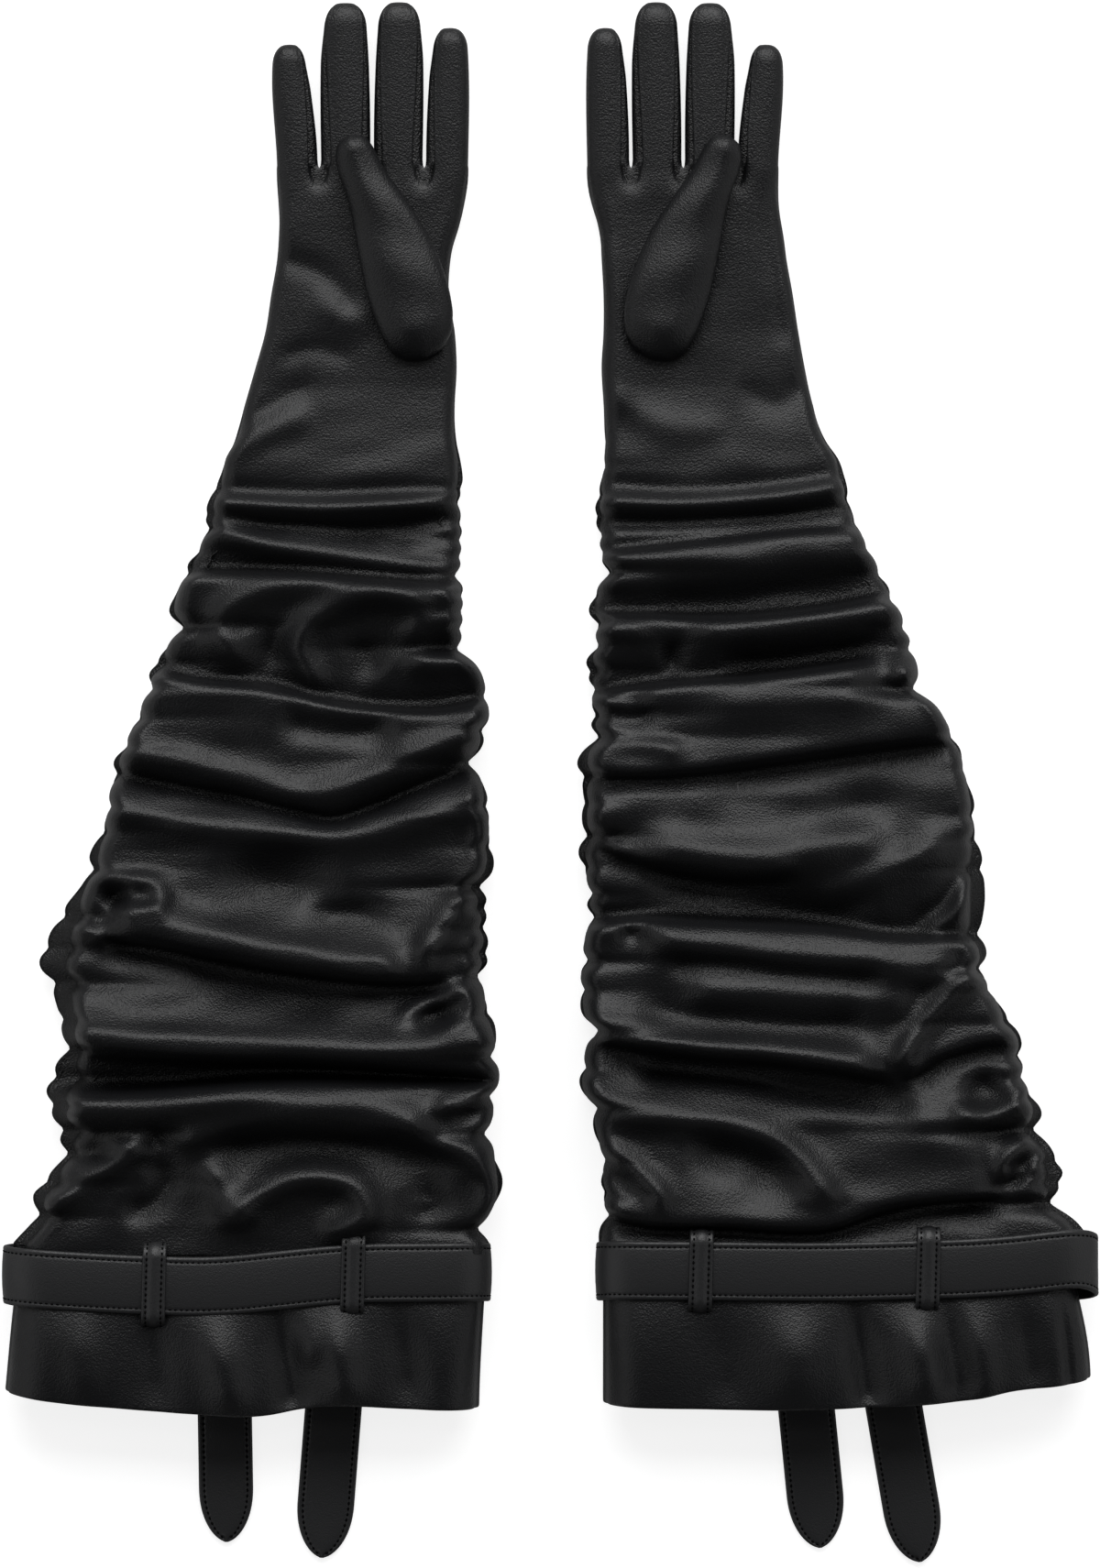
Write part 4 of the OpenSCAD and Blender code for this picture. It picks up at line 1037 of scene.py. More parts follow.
def cuff_levels(plan, y, inset):
    """Low and high X, underside and top of one ring of a cuff, set in from the outer face."""
    down = np.clip((plan["high"][1] - y) / (plan["high"][1] - plan["low"][1]), -0.2, 1.2)
    x0 = plan["top_x"][0] + (plan["hem_x"][0] - plan["top_x"][0]) * down + inset
    x1 = plan["top_x"][1] + (plan["hem_x"][1] - plan["top_x"][1]) * ease(down * 0.95) - inset
    drop = ease((down - 0.45) / 0.55)
    swell = math.sin(math.pi * min(1.0, max(0.0, (down - 0.3) / 0.95)))
    top = plan["top_z"] - 3.4 + 4.6 * swell - 1.2 * drop - inset
    return x0, x1, 11.8 - 9.0 * drop + inset, top


def cuff_section(plan, y, inset, folds=True):
    """One ring of the cuff at a Y as (x, z) rows: front, high side, back, low side."""
    n_front, n_side, n_back = CUFF_STEPS
    x0, x1, under, top = cuff_levels(plan, y, inset)
    edge = under + (top - under) * 0.45
    j = np.arange(n_front + 1) / n_front
    x = x0 + (x1 - x0) * (0.6 * j + 0.4 * (1 - np.cos(math.pi * j)) / 2)
    z = edge + (top - edge) * dome((x - x0) / 22) * dome((x1 - x) / 22)
    if folds:
        near = np.minimum(x - x0, x1 - x)
        height, _ = fold_field(x, np.full(x.shape, y), CUFF_FOLDS[plan["side"]],
                               lambda line: cuff_place(plan, line))
        grow = ease((plan["belt_low"] + 5 - y) / 30)
        z = z + np.where(height > 0, grow, 0.25 + 0.75 * grow) * CUFF_FOLD_GAIN * height * ease(near / 14)
        z = z + 0.5 * ripples(x, np.full(x.shape, y * 0.3), 61, 34) * ease(near / 10)
    q = np.arange(1, n_side + 1) / (n_side + 1)
    side_z = edge + (under + 0.45 * (edge - under) - edge) * q
    bx = x1 + (x0 - x1) * np.arange(n_back + 1) / n_back
    bz = under + 0.45 * (edge - under) * (1 - dome(np.minimum(bx - x0, x1 - bx) / 12))
    high = np.column_stack([x1 + 1.5 * np.sin(math.pi * q), side_z])
    low = np.column_stack([x0 - 1.5 * np.sin(math.pi * q[::-1]), side_z[::-1]])
    return np.concatenate([np.column_stack([x, z]), high, np.column_stack([bx, bz]), low])


def hem_shift(plan, x, y):
    """How far the hem's wavy edge lies beyond the cuff's straight end, at some points."""
    across = (x - plan["low"][0]) / (plan["high"][0] - plan["low"][0]) * 100
    length = plan["high"][1] - plan["low"][1]
    return smooth_table(HEMS[plan["side"]], across) * ease((plan["high"][1] - y) / length / 0.9 - 0.1)


def build_cuff(side):
    """One cuff: its outer leather, the folded hem and the facing inside it."""
    plan = cuff_plan(side)
    shell = Shell()
    start, end = plan["high"][1] - 12, plan["low"][1]
    facing_top = box_mm(f"{side}_hem_facing")[1][1]
    rows = [(y, 0.0) for y in np.linspace(start, end + 1.5, 46)]
    turns = [math.pi * i / 6 for i in range(1, 7)]
    rows += [(end + 1.5 - 1.6 * math.sin(turn), 1.01 * (1 - math.cos(turn))) for turn in turns]
    rows += [(y, HEM_THICK) for y in np.linspace(end + 3.5, facing_top, 16)]
    rows += [(facing_top + 0.2, 0.9)]
    last = None
    for y, inset in rows:
        ring = cuff_section(plan, y, inset)
        shift = hem_shift(plan, ring[:, 0], y)
        numbers = shell.add(np.column_stack([ring[:, 0], np.full(len(ring), y) - shift, ring[:, 1]]))
        if last is not None:
            shell.strip(numbers, last, "outer" if inset < 1.2 or y < end + 1 else "facing")
        last = numbers
    return shell


def make_cuffs(finish):
    """Both cuffs with their turned-in hems."""
    for side in SIDES:
        shell = build_cuff(side)
        normals = shell.normals()
        outer = shell.build(f"{side}_cuff", "outer", normals)
        finish_piece(outer, leather_material(finish))
        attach(outer, f"{side}_sleeve")
        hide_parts(f"{side}_cuff_front", f"{side}_cuff_back")
        inner = shell.build(f"{side}_hem_turned_in", "facing", normals)
        finish_piece(inner, facing_material(finish))
        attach(inner, f"{side}_sleeve")
        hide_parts(f"{side}_hem_facing")


# ---- Straps ----

def strap_profile(half, thick, inset):
    """Outline of a strap's cross-section: across and outward, crowned, with a sunk line near both edges."""
    h = thick / 2
    seam = max(0.2, half - inset)
    bevel = half - min(0.5, 0.3 * half)
    right = [(half, -0.1 * h), (half - min(0.3, 0.3 * half), 0.7 * h),
             (min(half - 0.05, seam + 1.5), h + 0.02), (seam + 0.65, h + 0.02), (seam, h - 0.4),
             (max(0.1, seam - 0.65), h + 0.02), (max(0.08, seam - 1.6), h + 0.16), (seam * 0.45, h + 0.5)]
    top = right + [(0, h + 0.6)] + [(-v, n) for v, n in right[::-1]]
    bottom = [(-bevel, -0.9 * h), (-half * 0.5, -h), (0, -h), (half * 0.5, -h), (bevel, -0.9 * h)]
    return np.array(top + bottom)


def build_strap(shell, centre, across, outward, half, thick, inset, closed=False):
    """Sweeps a strap along a line of points."""
    rings = []
    for c, a, o, w in zip(centre, across, outward, half):
        prof = strap_profile(w, thick, inset)
        rings.append(shell.add(c[None, :] + prof[:, :1] * a[None, :] + prof[:, 1:] * o[None, :]))
    for last, numbers in zip(rings[:-1], rings[1:]):
        shell.strip(numbers, last)
    if closed:
        shell.strip(rings[0], rings[-1])
    else:
        shell.cap(rings[0])
        shell.cap(rings[-1], flip=True)


def run_along(line):
    """How far along a line of points each of them is."""
    return np.concatenate([[0], np.cumsum(np.linalg.norm(np.diff(line, axis=0), axis=1))])


def read_line(line, run, at):
    """The points of a line at some distances along it."""
    return np.column_stack([np.interp(at, run, line[:, k]) for k in range(line.shape[1])])


def unit(rows):
    """Rows of numbers as directions of length 1."""
    return rows / np.linalg.norm(rows, axis=-1, keepdims=True)


def build_stitches(shell, line, outward, pitch, closed=False):
    """Lays short threads along a line of points, one stitch and one gap at a time."""
    if closed:
        line, outward = np.vstack([line, line[:1]]), np.vstack([outward, outward[:1]])
    run = run_along(line)
    count = int(run[-1] / pitch)
    half = STITCH_HALF * pitch
    turns = np.arange(THREAD_SIDES) * 2 * math.pi / THREAD_SIDES
    for i in range(count):
        at = (i + 0.5) * run[-1] / count
        start, end = read_line(line, run, [at - half, at + half])
        out = unit(read_line(outward, run, [at])[0])
        wide = np.cross(unit(end - start), out)
        rings = []
        for share, lift, size in ((0, -0.28, 0.45), (0.3, 0.05, 1), (0.7, 0.05, 1), (1, -0.28, 0.45)):
            c = start * (1 - share) + end * share + out * lift
            rings.append(shell.add([c + THREAD_RADIUS * size * (wide * math.cos(t) + out * math.sin(t))
                                    for t in turns]))
        for a, b in zip(rings[:-1], rings[1:]):
            shell.strip(a, b)
        shell.lid(rings[0][::-1])
        shell.lid(rings[-1])


def resample(points, count):
    """Even steps round a closed line of points."""
    line = np.vstack([points, points[:1]])
    run = run_along(line)
    return read_line(line, run, np.linspace(0, run[-1], count, endpoint=False))


def neighbours_apart(ring):
    """Direction along a closed line at each of its points."""
    return unit(np.roll(ring, -1, axis=0) - np.roll(ring, 1, axis=0))


def soften(ring, passes):
    """Evens out a closed line of points."""
    for _ in range(passes):
        ring = (np.roll(ring, 1, axis=0) + ring * 2 + np.roll(ring, -1, axis=0)) / 4
    return ring


def belt_path(side):
    """The belt's middle line round the cuff, the way out of it at each point, and its box."""
    plan = cuff_plan(side)
    low, high = box_mm(f"{side}_belt")
    middle = (low[1] + high[1]) / 2
    ring = soften(resample(cuff_section(plan, middle, 0.0, folds=False), BELT_POINTS), 14)
    tangent = neighbours_apart(ring)
    out = np.column_stack([-tangent[:, 1], tangent[:, 0]])
    ring = ring + out * BELT_LIFT
    x, z = ring.T
    half = (high[0] - low[0]) / 2 - BELT_SINK
    wide, mid = (x.max() - x.min()) / 2, (x.max() + x.min()) / 2
    x = (x - mid) * half / wide + (low[0] + high[0]) / 2
    z = np.where(z > z.mean(), np.minimum(z, high[2] - BELT_SINK), np.maximum(z, low[2] + BELT_SINK))
    across = (x - plan["low"][0]) / (plan["high"][0] - plan["low"][0]) * 100
    front = ease((z - (low[2] + 6)) / (high[2] - low[2] - 14))
    y = soften(middle + smooth_table(BELT_LINES[side], across) * front, 30)
    out = np.column_stack([out[:, 0], np.zeros(len(out)), out[:, 1]])
    return np.column_stack([x, y, z]), out, (low, high)


def make_belts(finish, sizes):
    """Both belts, their loops and their stitching."""
    for side in SIDES:
        leather, thread = Shell(), Shell()
        centre, out, (low, high) = belt_path(side)
        across = unit(np.cross(out, neighbours_apart(centre)))
        across = across * np.sign(across[:, 1])[:, None]
        half = (high[1] - low[1]) / 2 - 0.4
        build_strap(leather, centre, across, out, np.full(len(centre), half), BELT_THICK,
                    sizes.stitch_inset, closed=True)
        for sign in (-1, 1):
            line = centre + across * sign * (half - sizes.stitch_inset) + out * 0.95
            build_stitches(thread, line, out, sizes.stitch_pitch, closed=True)
        finish_strap(side, "belt", leather, thread, finish, [f"{side}_belt"], f"{side}_sleeve")
        make_loops(side, finish, sizes)


def finish_strap(side, name, leather, thread, finish, nodes, body):
    """Turns a strap and its stitching into pieces on one body."""
    leather.face_outwards()
    piece = leather.build(f"{side}_{name}_leather")
    finish_piece(piece, strap_material(finish))
    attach(piece, body)
    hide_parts(*nodes)
    if thread.points:
        thread.face_outwards()
        sewn = thread.build(f"{side}_{name}_stitching")
        finish_piece(sewn, thread_material(finish))
        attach(sewn, body)


def make_loops(side, finish, sizes):
    """The belt loops of one cuff, two in front and two behind."""
    leather, thread = Shell(), Shell()
    points = node_points(f"{side}_belt_loops")
    middle = (points[:, 2].max() + points[:, 2].min()) / 2
    centre, _, _ = belt_path(side)
    for sign in (1, -1):
        part, belt = (p[(p[:, 2] > middle) == (sign > 0)] for p in (points, centre))
        for x0, x1 in clusters(part[:, 0], 15):
            own = part[(part[:, 0] > x0 - 1) & (part[:, 0] < x1 + 1)]
            near = belt[np.abs(belt[:, 0] - (x0 + x1) / 2) < 8]
            reach = (own[:, 1].max() - own[:, 1].min()) / 2
            middle_point = ((x0 + x1) / 2, near[:, 1].mean(), near[:, 2].mean())
            build_loop(leather, thread, middle_point, (x1 - x0) / 2, sign, reach, sizes)
    finish_strap(side, "belt_loops", leather, thread, finish, [f"{side}_belt_loops"], f"{side}_sleeve")


def build_loop(leather, thread, middle, half, sign, reach, sizes):
    """One belt loop: a short strap sewn down above and below the belt and arched over it."""
    t = np.linspace(-1, 1, 41)
    arch = np.clip((1 - np.abs(t) ** 5) * 1.25, 0, 1) ** 0.7
    slant = 0.5 * t if sign > 0 else 0 * t
    centre = np.column_stack([np.full(len(t), middle[0]) + slant, middle[1] + t * reach * 0.96,
                              middle[2] + sign * (-2.9 + (2.6 + 2.5) * arch)])
    tangent = unit(np.gradient(centre, axis=0))
    out = np.cross([float(-sign), 0.0, 0.0], tangent)
    out = unit(out * (np.sign(out[:, 2]) * sign)[:, None])
    across = np.cross(tangent, out)
    build_strap(leather, centre, -across, out, np.full(len(t), half), LOOP_THICK,
                min(LOOP_INSET, sizes.stitch_inset))
    for side in (-1, 1):
        line = centre + across * side * (half - LOOP_INSET) + out * 0.85
        build_stitches(thread, line, out, sizes.stitch_pitch)


def knot_ring(middle, half, turn, s):
    """One ring of a knot's crumpled wrap, at a place from -1 to 1 across it."""
    grow = max(0.05, (1 - abs(s) ** 5)) ** 0.4
    sy, cz = np.sin(turn), np.cos(turn)
    y = middle[1] + np.sign(sy) * np.abs(sy) ** 0.6 * half[1] * 0.96 * grow * (1 - 0.1 * math.cos(3 * s))
    crumple = 0.5 * math.sin(9 * s) * np.sin(2 * turn + 3 * s) + 0.35 * np.sin(5 * turn + 7 * s)
    z = middle[2] + np.sign(cz) * np.abs(cz) ** 0.6 * (half[2] * 0.86) * grow + crumple * 0.8 * grow
    return np.column_stack([np.full(len(turn), middle[0] + s * half[0]), y, np.maximum(z, KNOT_LEAST_Z)])


def make_knots(finish):
    """The wrap behind each cuff that the two tails hang from."""
    for side in SIDES:
        low, high = box_mm(f"{side}_belt_knot")
        middle, half = (low + high) / 2, (high - low) / 2
        shell = Shell()
        turn = np.arange(KNOT_SIDES) / KNOT_SIDES * 2 * math.pi
        last = None
        for i in range(KNOT_RINGS + 1):
            s = -1 + 2 * i / KNOT_RINGS
            numbers = shell.add(knot_ring(middle, half, turn, s))
            if last is None:
                shell.cap(numbers, (middle[0] + s * half[0], middle[1], middle[2]))
            else:
                shell.strip(numbers, last)
            last = numbers
        shell.cap(last, (middle[0] + half[0], middle[1], middle[2]), flip=True)
        finish_strap(side, "belt_knot", shell, Shell(), finish, [f"{side}_belt_knot"], f"{side}_sleeve")


def tail_path(side, which):
    """Middle line of one belt tail from the knot to its tip, the way across it and its half-width."""
    pivot = np.array(joint(f"{side}_{which}_tail_swing")["pos_m"]) / MM
    points = node_points(f"{side}_belt_tail_{which}")
    along = points[points[:, 1].argmin()][:2] - pivot[:2]
    length = np.linalg.norm(along)
    along /= length
    across = np.array([-along[1], along[0]])
    half = np.abs((points[:, :2] - pivot[:2]) @ across).max() - 0.3
    back = ((points[:, :2] - pivot[:2]) @ along).min()
    run = np.concatenate([np.linspace(back, length - 38, 70), np.linspace(length - 36.5, length - 8, 22),
                          length - 8 * np.cos(np.linspace(0.15, 1.53, 14)) ** 1.4])
    left = np.maximum(length - run, 0.02)
    width = half * (1 - np.clip(1 - left / 28, 0, 1) ** 2.2) ** 0.6
    # Flat on the floor as far as the hem, and a little wavy beyond it
    lie = 1.02 + 0.5 * (1 + np.sin(run * 0.07 + pivot[0])) * ease((run - 76) / 30)
    centre = np.column_stack([pivot[0] + run * along[0], pivot[1] + run * along[1], lie])
    return centre, np.tile(np.append(across, 0.0), (len(run), 1)), width


def make_tails(finish, sizes):
    """The four loose belt ends, rounded to a point and stitched along the edge."""
    for side in SIDES:
        for which in ("inner", "outer"):
            centre, across, width = tail_path(side, which)
            out = np.tile([0.0, 0.0, 1.0], (len(centre), 1))
            leather, thread = Shell(), Shell()
            build_strap(leather, centre, -across, out, width, TAIL_THICK, sizes.stitch_inset)
            sewn = width > sizes.stitch_inset + 0.8
            edge = (width - sizes.stitch_inset)[sewn][:, None] * across[sewn]
            lift = centre[sewn] + out[sewn] * 0.72
            line = np.vstack([lift + edge, (lift - edge)[::-1]])
            build_stitches(thread, line, np.tile([0.0, 0.0, 1.0], (len(line), 1)), sizes.stitch_pitch)
            finish_strap(side, f"{which}_tail", leather, thread, finish, [f"{side}_belt_tail_{which}"],
                         f"{side}_{which}_tail")


# ---- Elastic tapes ----

def build_tape(shell, plan, own, low, high, on_low):
    """One elastic tape along the inside of a side seam, as high as its CAD piece."""
    levels = np.unique(np.round(own[:, 1], 2))
    z_at = [own[np.abs(own[:, 1] - y) < 0.1][:, 2].mean() for y in levels]
    ys = np.arange(low, high, ROW)
    edges = outline_at(plan, ys)
    xs = edges[0] + TAPE_INSIDE if on_low else edges[1] - TAPE_INSIDE
    xs = xs + 0.8 * np.sin(ys * 1.1)
    last = None
    for x, y, z in zip(xs, ys, np.interp(ys, levels, z_at)):
        numbers = shell.add([(x + across, y, z + up) for across, up in TAPE_SECTION])
        if last is None:
            shell.lid(numbers[::-1])
        else:
            shell.strip(last, numbers)
        last = numbers
    shell.lid(last)


def make_elastics(finish):
    """The stretched tapes inside both side seams, crimped along their length."""
    for side in SIDES:
        points = node_points(f"{side}_side_elastics")
        plan = glove_plan(side)
        shell = Shell()
        middle = (points[:, 0].max() + points[:, 0].min()) / 2
        low, high = points[:, 1].min(), points[:, 1].max()
        build_tape(shell, plan, points[points[:, 0] < middle], low, high, True)
        build_tape(shell, plan, points[points[:, 0] >= middle], low, high, False)
        piece = shell.build(f"{side}_elastic_tapes")
        finish_piece(piece, elastic_material(finish))
        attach(piece, f"{side}_sleeve")
        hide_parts(f"{side}_side_elastics")


# ---- Materials ----

def node_at(tree, kind, place, **values):
    """Adds a shader node with its inputs and settings; a name's underscores stand for spaces."""
    node = tree.nodes.new(kind)
    node.location = place
    for key, value in values.items():
        socket = key.replace("_", " ")
        if socket in node.inputs:
            node.inputs[socket].default_value = value
        else:
            setattr(node, key, value)
    return node


def wire(tree, *links):
    """Joins sockets, each given as a node, its output, a node and its input."""
    for source, output, target, socket in links:
        tree.links.new(source.outputs[output], target.inputs[socket])


def shades(tree, place, first, second):
    """A node that mixes two colours."""
    mix = node_at(tree, "ShaderNodeMix", place, data_type="RGBA")
    mix.inputs["A"].default_value = (*first, 1)
    mix.inputs["B"].default_value = (*second, 1)
    return mix


def toned(colour, part):
    """A colour made lighter or darker."""
    return [c * part for c in colour[:3]]


def start_material(name):
    """A new node material, its tree and its surface shader."""
    material = bpy.data.materials.new(name)
    material.use_nodes = True
    tree = material.node_tree
    return material, tree, tree.nodes["Principled BSDF"]


def add_grain(tree, shader, rest, hollow, grain, strength):
    """Pebbles and fine creases, deeper in the hollows."""
    warp = node_at(tree, "ShaderNodeTexNoise", (-1300, 220), Scale=220.0, Detail=2.0)
    mix = node_at(tree, "ShaderNodeMix", (-1100, 120), data_type="VECTOR")
    mix.inputs["Factor"].default_value = 0.0006
    pebbles = node_at(tree, "ShaderNodeTexVoronoi", (-900, 120), Scale=1 / (grain * MM),
                      feature="SMOOTH_F1", Smoothness=0.35)
    creases = node_at(tree, "ShaderNodeTexNoise", (-900, -180), Scale=760.0, Detail=3.0, Roughness=0.55)
    height = node_at(tree, "ShaderNodeMath", (-680, 20), operation="MULTIPLY_ADD")
    height.inputs[1].default_value = -1.0
    deeper = node_at(tree, "ShaderNodeMapRange", (-680, -300),
                     To_Min=strength, To_Max=min(1.0, strength * 2.6))
    bump = node_at(tree, "ShaderNodeBump", (-300, -260), Distance=0.0005)
    wire(tree, (rest, "Vector", warp, "Vector"), (rest, "Vector", mix, "A"), (warp, "Color", mix, "B"),
         (mix, "Result", pebbles, "Vector"), (rest, "Vector", creases, "Vector"),
         (pebbles, "Distance", height, 0), (creases, "Fac", height, 2), (hollow, "Fac", deeper, "Value"),
         (height, 0, bump, "Height"), (deeper, "Result", bump, "Strength"),
         (bump, "Normal", shader, "Normal"))


def grained_leather(name, colour, roughness, grain, strength, tint=0.35, shine=0.34):
    """Soft black leather: pebbled grain that opens up in the hollows, uneven gloss, and painted shade that
    darkens its colour where the hollow attribute says.
    """
    found = bpy.data.materials.get(name)
    if found:
        return found
    material, tree, shader = start_material(name)
    rest = node_at(tree, "ShaderNodeAttribute", (-1500, 0), attribute_name="rest")
    hollow = node_at(tree, "ShaderNodeAttribute", (-1500, -420), attribute_name="hollow")
    add_grain(tree, shader, rest, hollow, grain, strength)
    cloud = node_at(tree, "ShaderNodeTexNoise", (-900, 460), Scale=34.0, Detail=5.0, Roughness=0.62)
    gloss = node_at(tree, "ShaderNodeMapRange", (-520, 420), From_Min=0.3, From_Max=0.7,
                    To_Min=roughness - 0.035, To_Max=roughness + 0.045)
    shade = shades(tree, (-520, 700), toned(colour, 1 + tint), toned(colour, 1 - tint))
    # Painted shade: the hollow attribute mixes the colour down to about a third of itself
    dark = node_at(tree, "ShaderNodeMix", (-300, 620), data_type="RGBA")
    dark.inputs["B"].default_value = (*toned(colour, 0.35), 1)
    wire(tree, (rest, "Vector", cloud, "Vector"), (cloud, "Fac", gloss, "Value"),
         (gloss, "Result", shader, "Roughness"), (cloud, "Fac", shade, "Factor"),
         (hollow, "Fac", dark, "Factor"), (shade, "Result", dark, "A"),
         (dark, "Result", shader, "Base Color"))
    shader.inputs["Specular IOR Level"].default_value = shine
    return material


def leather_material(finish):
    """The gloves' own leather."""
    return grained_leather("black_glove_leather", finish.leather_colour, finish.leather_roughness,
                           finish.grain_size, 0.4)


def strap_material(finish):
    """The belt leather, a little stiffer and duller than the glove's."""
    return grained_leather("black_belt_leather", finish.belt_colour, finish.leather_roughness + 0.02,
                           finish.grain_size * 0.85, 0.22, 0.25, 0.4)


def facing_material(finish):
    """The matt leather of the turned-in hem."""
    return grained_leather("turned_in_hem", finish.facing_colour, 0.6, finish.grain_size * 1.3, 0.3, 0.3)


def thread_material(finish):
    """Twisted black thread."""
    found = bpy.data.materials.get("black_thread")
    if found:
        return found
    material, tree, shader = start_material("black_thread")
    rest = node_at(tree, "ShaderNodeAttribute", (-900, 0), attribute_name="rest")
    twist = node_at(tree, "ShaderNodeTexWave", (-650, 0), Scale=620.0, Distortion=1.5,
                    bands_direction="DIAGONAL")
    bump = node_at(tree, "ShaderNodeBump", (-300, -120), Distance=0.0001, Strength=0.5)
    shade = shades(tree, (-300, 160), toned(finish.thread_colour, 0.6), finish.thread_colour)
    wire(tree, (rest, "Vector", twist, "Vector"), (twist, "Fac", bump, "Height"),
         (twist, "Fac", shade, "Factor"), (bump, "Normal", shader, "Normal"),
         (shade, "Result", shader, "Base Color"))
    shader.inputs["Roughness"].default_value = 0.7
    shader.inputs["Specular IOR Level"].default_value = 0.05
    return material


def elastic_material(finish):
    """Woven black elastic with lengthwise rubber cords."""
    found = bpy.data.materials.get("woven_elastic")
    if found:
        return found
    material, tree, shader = start_material("woven_elastic")
    rest = node_at(tree, "ShaderNodeAttribute", (-900, 0), attribute_name="rest")
    cords = node_at(tree, "ShaderNodeTexWave", (-650, 80), Scale=480.0, bands_direction="Z")
    weft = node_at(tree, "ShaderNodeTexWave", (-650, -160), Scale=300.0, bands_direction="Y")
    both = node_at(tree, "ShaderNodeMath", (-460, -40), operation="MULTIPLY")
    bump = node_at(tree, "ShaderNodeBump", (-260, -120), Distance=0.0002, Strength=0.6)
    shade = shades(tree, (-260, 160), toned(finish.elastic_colour, 0.5), finish.elastic_colour)
    wire(tree, (rest, "Vector", cords, "Vector"), (rest, "Vector", weft, "Vector"), (cords, "Fac", both, 0),
         (weft, "Fac", both, 1), (both, 0, bump, "Height"), (both, 0, shade, "Factor"),
         (bump, "Normal", shader, "Normal"), (shade, "Result", shader, "Base Color"))
    shader.inputs["Roughness"].default_value = 0.85
    return material


# ---- Stage ----

def floor_material(finish):
    """Plain pale paper under the gloves, brighter to the eye than to the leather above it."""
    material, tree, shader = start_material("pale_floor")
    grain = node_at(tree, "ShaderNodeTexNoise", (-600, 0), Scale=60.0, Detail=3.0)
    shade = shades(tree, (-300, 0), toned(finish.floor_colour, 0.99), finish.floor_colour)
    seen = node_at(tree, "ShaderNodeLightPath", (-600, -300))
    glow = node_at(tree, "ShaderNodeMath", (-300, -300), operation="MULTIPLY")
    glow.inputs[1].default_value = FLOOR_GLOW
    wire(tree, (grain, "Fac", shade, "Factor"), (shade, "Result", shader, "Base Color"),
         (seen, "Is Camera Ray", glow, 0), (glow, 0, shader, "Emission Strength"))
    shader.inputs["Emission Color"].default_value = (1, 1, 1, 1)
    shader.inputs["Roughness"].default_value = 0.9
    shader.inputs["Specular IOR Level"].default_value = 0.1
    return material


def make_floor(finish):
    """A wide flat floor just under the gloves."""
    mesh = bpy.data.meshes.new("floor")
    steps = 30
    line = np.linspace(-FLOOR_REACH, FLOOR_REACH, steps + 1)
    points = [(x, y, FLOOR_LEVEL) for y in line for x in line]
    corners = [j * (steps + 1) + i for j in range(steps) for i in range(steps)]
    mesh.from_pydata(points, [], [(k, k + 1, k + steps + 2, k + steps + 1) for k in corners])
    floor = bpy.data.objects.new("floor", mesh)
    bpy.context.scene.collection.objects.link(floor)
    floor.data.materials.append(floor_material(finish))


def softbox(name, place, target, size, power):
    """One rectangular studio light turned to a target."""
    light = bpy.data.lights.new(name, "AREA")
    light.shape = "RECTANGLE"
    light.size, light.size_y = size
    light.energy = power
    lamp = bpy.data.objects.new(name, light)
    bpy.context.scene.collection.objects.link(lamp)
    place, target = np.array(place, float), np.array(target, float)
    lamp.location = place
    lamp.rotation_euler = Vector(target - place).to_track_quat("-Z", "Y").to_euler()


def make_lights(stage):
    """One wide light beyond the fingertips, and soft ones overhead, on both sides and beyond the cuffs."""
    softbox("key_light", (0.2, 3.15, 2.4), (0, 0.05, 0), (5.2, 2.9), stage.key_power)
    softbox("high_light", (-0.3, 0.9, 3.1), (0, 0, 0), (1.2, 0.5), stage.top_power)
    softbox("left_light", (-2.6, -0.2, 1.3), (0, 0, 0), (4.2, 2.4), stage.side_power)
    softbox("right_light", (2.6, -0.2, 1.2), (0, 0, 0), (4.2, 2.4), stage.side_power * 0.8)
    softbox("fill_light", (0, -2.7, 1.0), (0, 0, 0), (2.6, 1.4), stage.fill_power)


def make_sky(stage):
    """Surroundings that look pale to the camera but hardly light the leather."""
    world = bpy.data.worlds.new("studio")
    world.use_nodes = True
    tree = world.node_tree
    back = tree.nodes["Background"]
    back.inputs["Color"].default_value = (1, 1, 1, 1)
    seen = node_at(tree, "ShaderNodeLightPath", (-500, 0))
    pale = node_at(tree, "ShaderNodeMapRange", (-260, 0), To_Min=stage.sky_strength, To_Max=SKY_SEEN)
    wire(tree, (seen, "Is Camera Ray", pale, "Value"), (pale, "Result", back, "Strength"))
    bpy.context.scene.world = world


def make_camera(stage):
    """The camera, looking straight down at the middle of the pair."""
    low, high = CAD_BOX
    camera = bpy.data.objects.new("camera", bpy.data.cameras.new("camera"))
    bpy.context.scene.collection.objects.link(camera)
    height = stage.camera_height
    camera.location = ((low[0] + high[0]) / 2, (low[1] + high[1]) / 2 - 0.0006, height + 0.015)
    camera.rotation_euler = (0, 0, 0)
    camera.data.sensor_width = SENSOR
    camera.data.lens = SENSOR * height / VIEW_LENGTH
    camera.data.clip_end = 30
    bpy.context.scene.camera = camera


def make_stage(finish, stage):
    """Floor, lights, surroundings and camera."""
    make_floor(finish)
    make_lights(stage)
    bpy.context.scene.view_settings.view_transform = "Standard"
    make_sky(stage)
    make_camera(stage)


# ---- Panel, settings and operators ----

class GLOVES_PG_sizes(bpy.types.PropertyGroup):
    """Sizes that a maker would change."""
    fold_depth: bpy.props.FloatProperty(
        name="Fold depth", description="Depth of the sleeve's folds, 1 as designed", default=1.0,
        min=0.0, max=1.3, subtype="FACTOR")
    stitch_pitch: bpy.props.FloatProperty(
        name="Stitch length", description="From one stitch to the next along a strap, in millimetres",
        default=2.8, min=1.5, max=5.0)
    stitch_inset: bpy.props.FloatProperty(
        name="Stitch inset", description="From a strap's edge to its stitching, in millimetres",
        default=2.8, min=1.5, max=6.0)


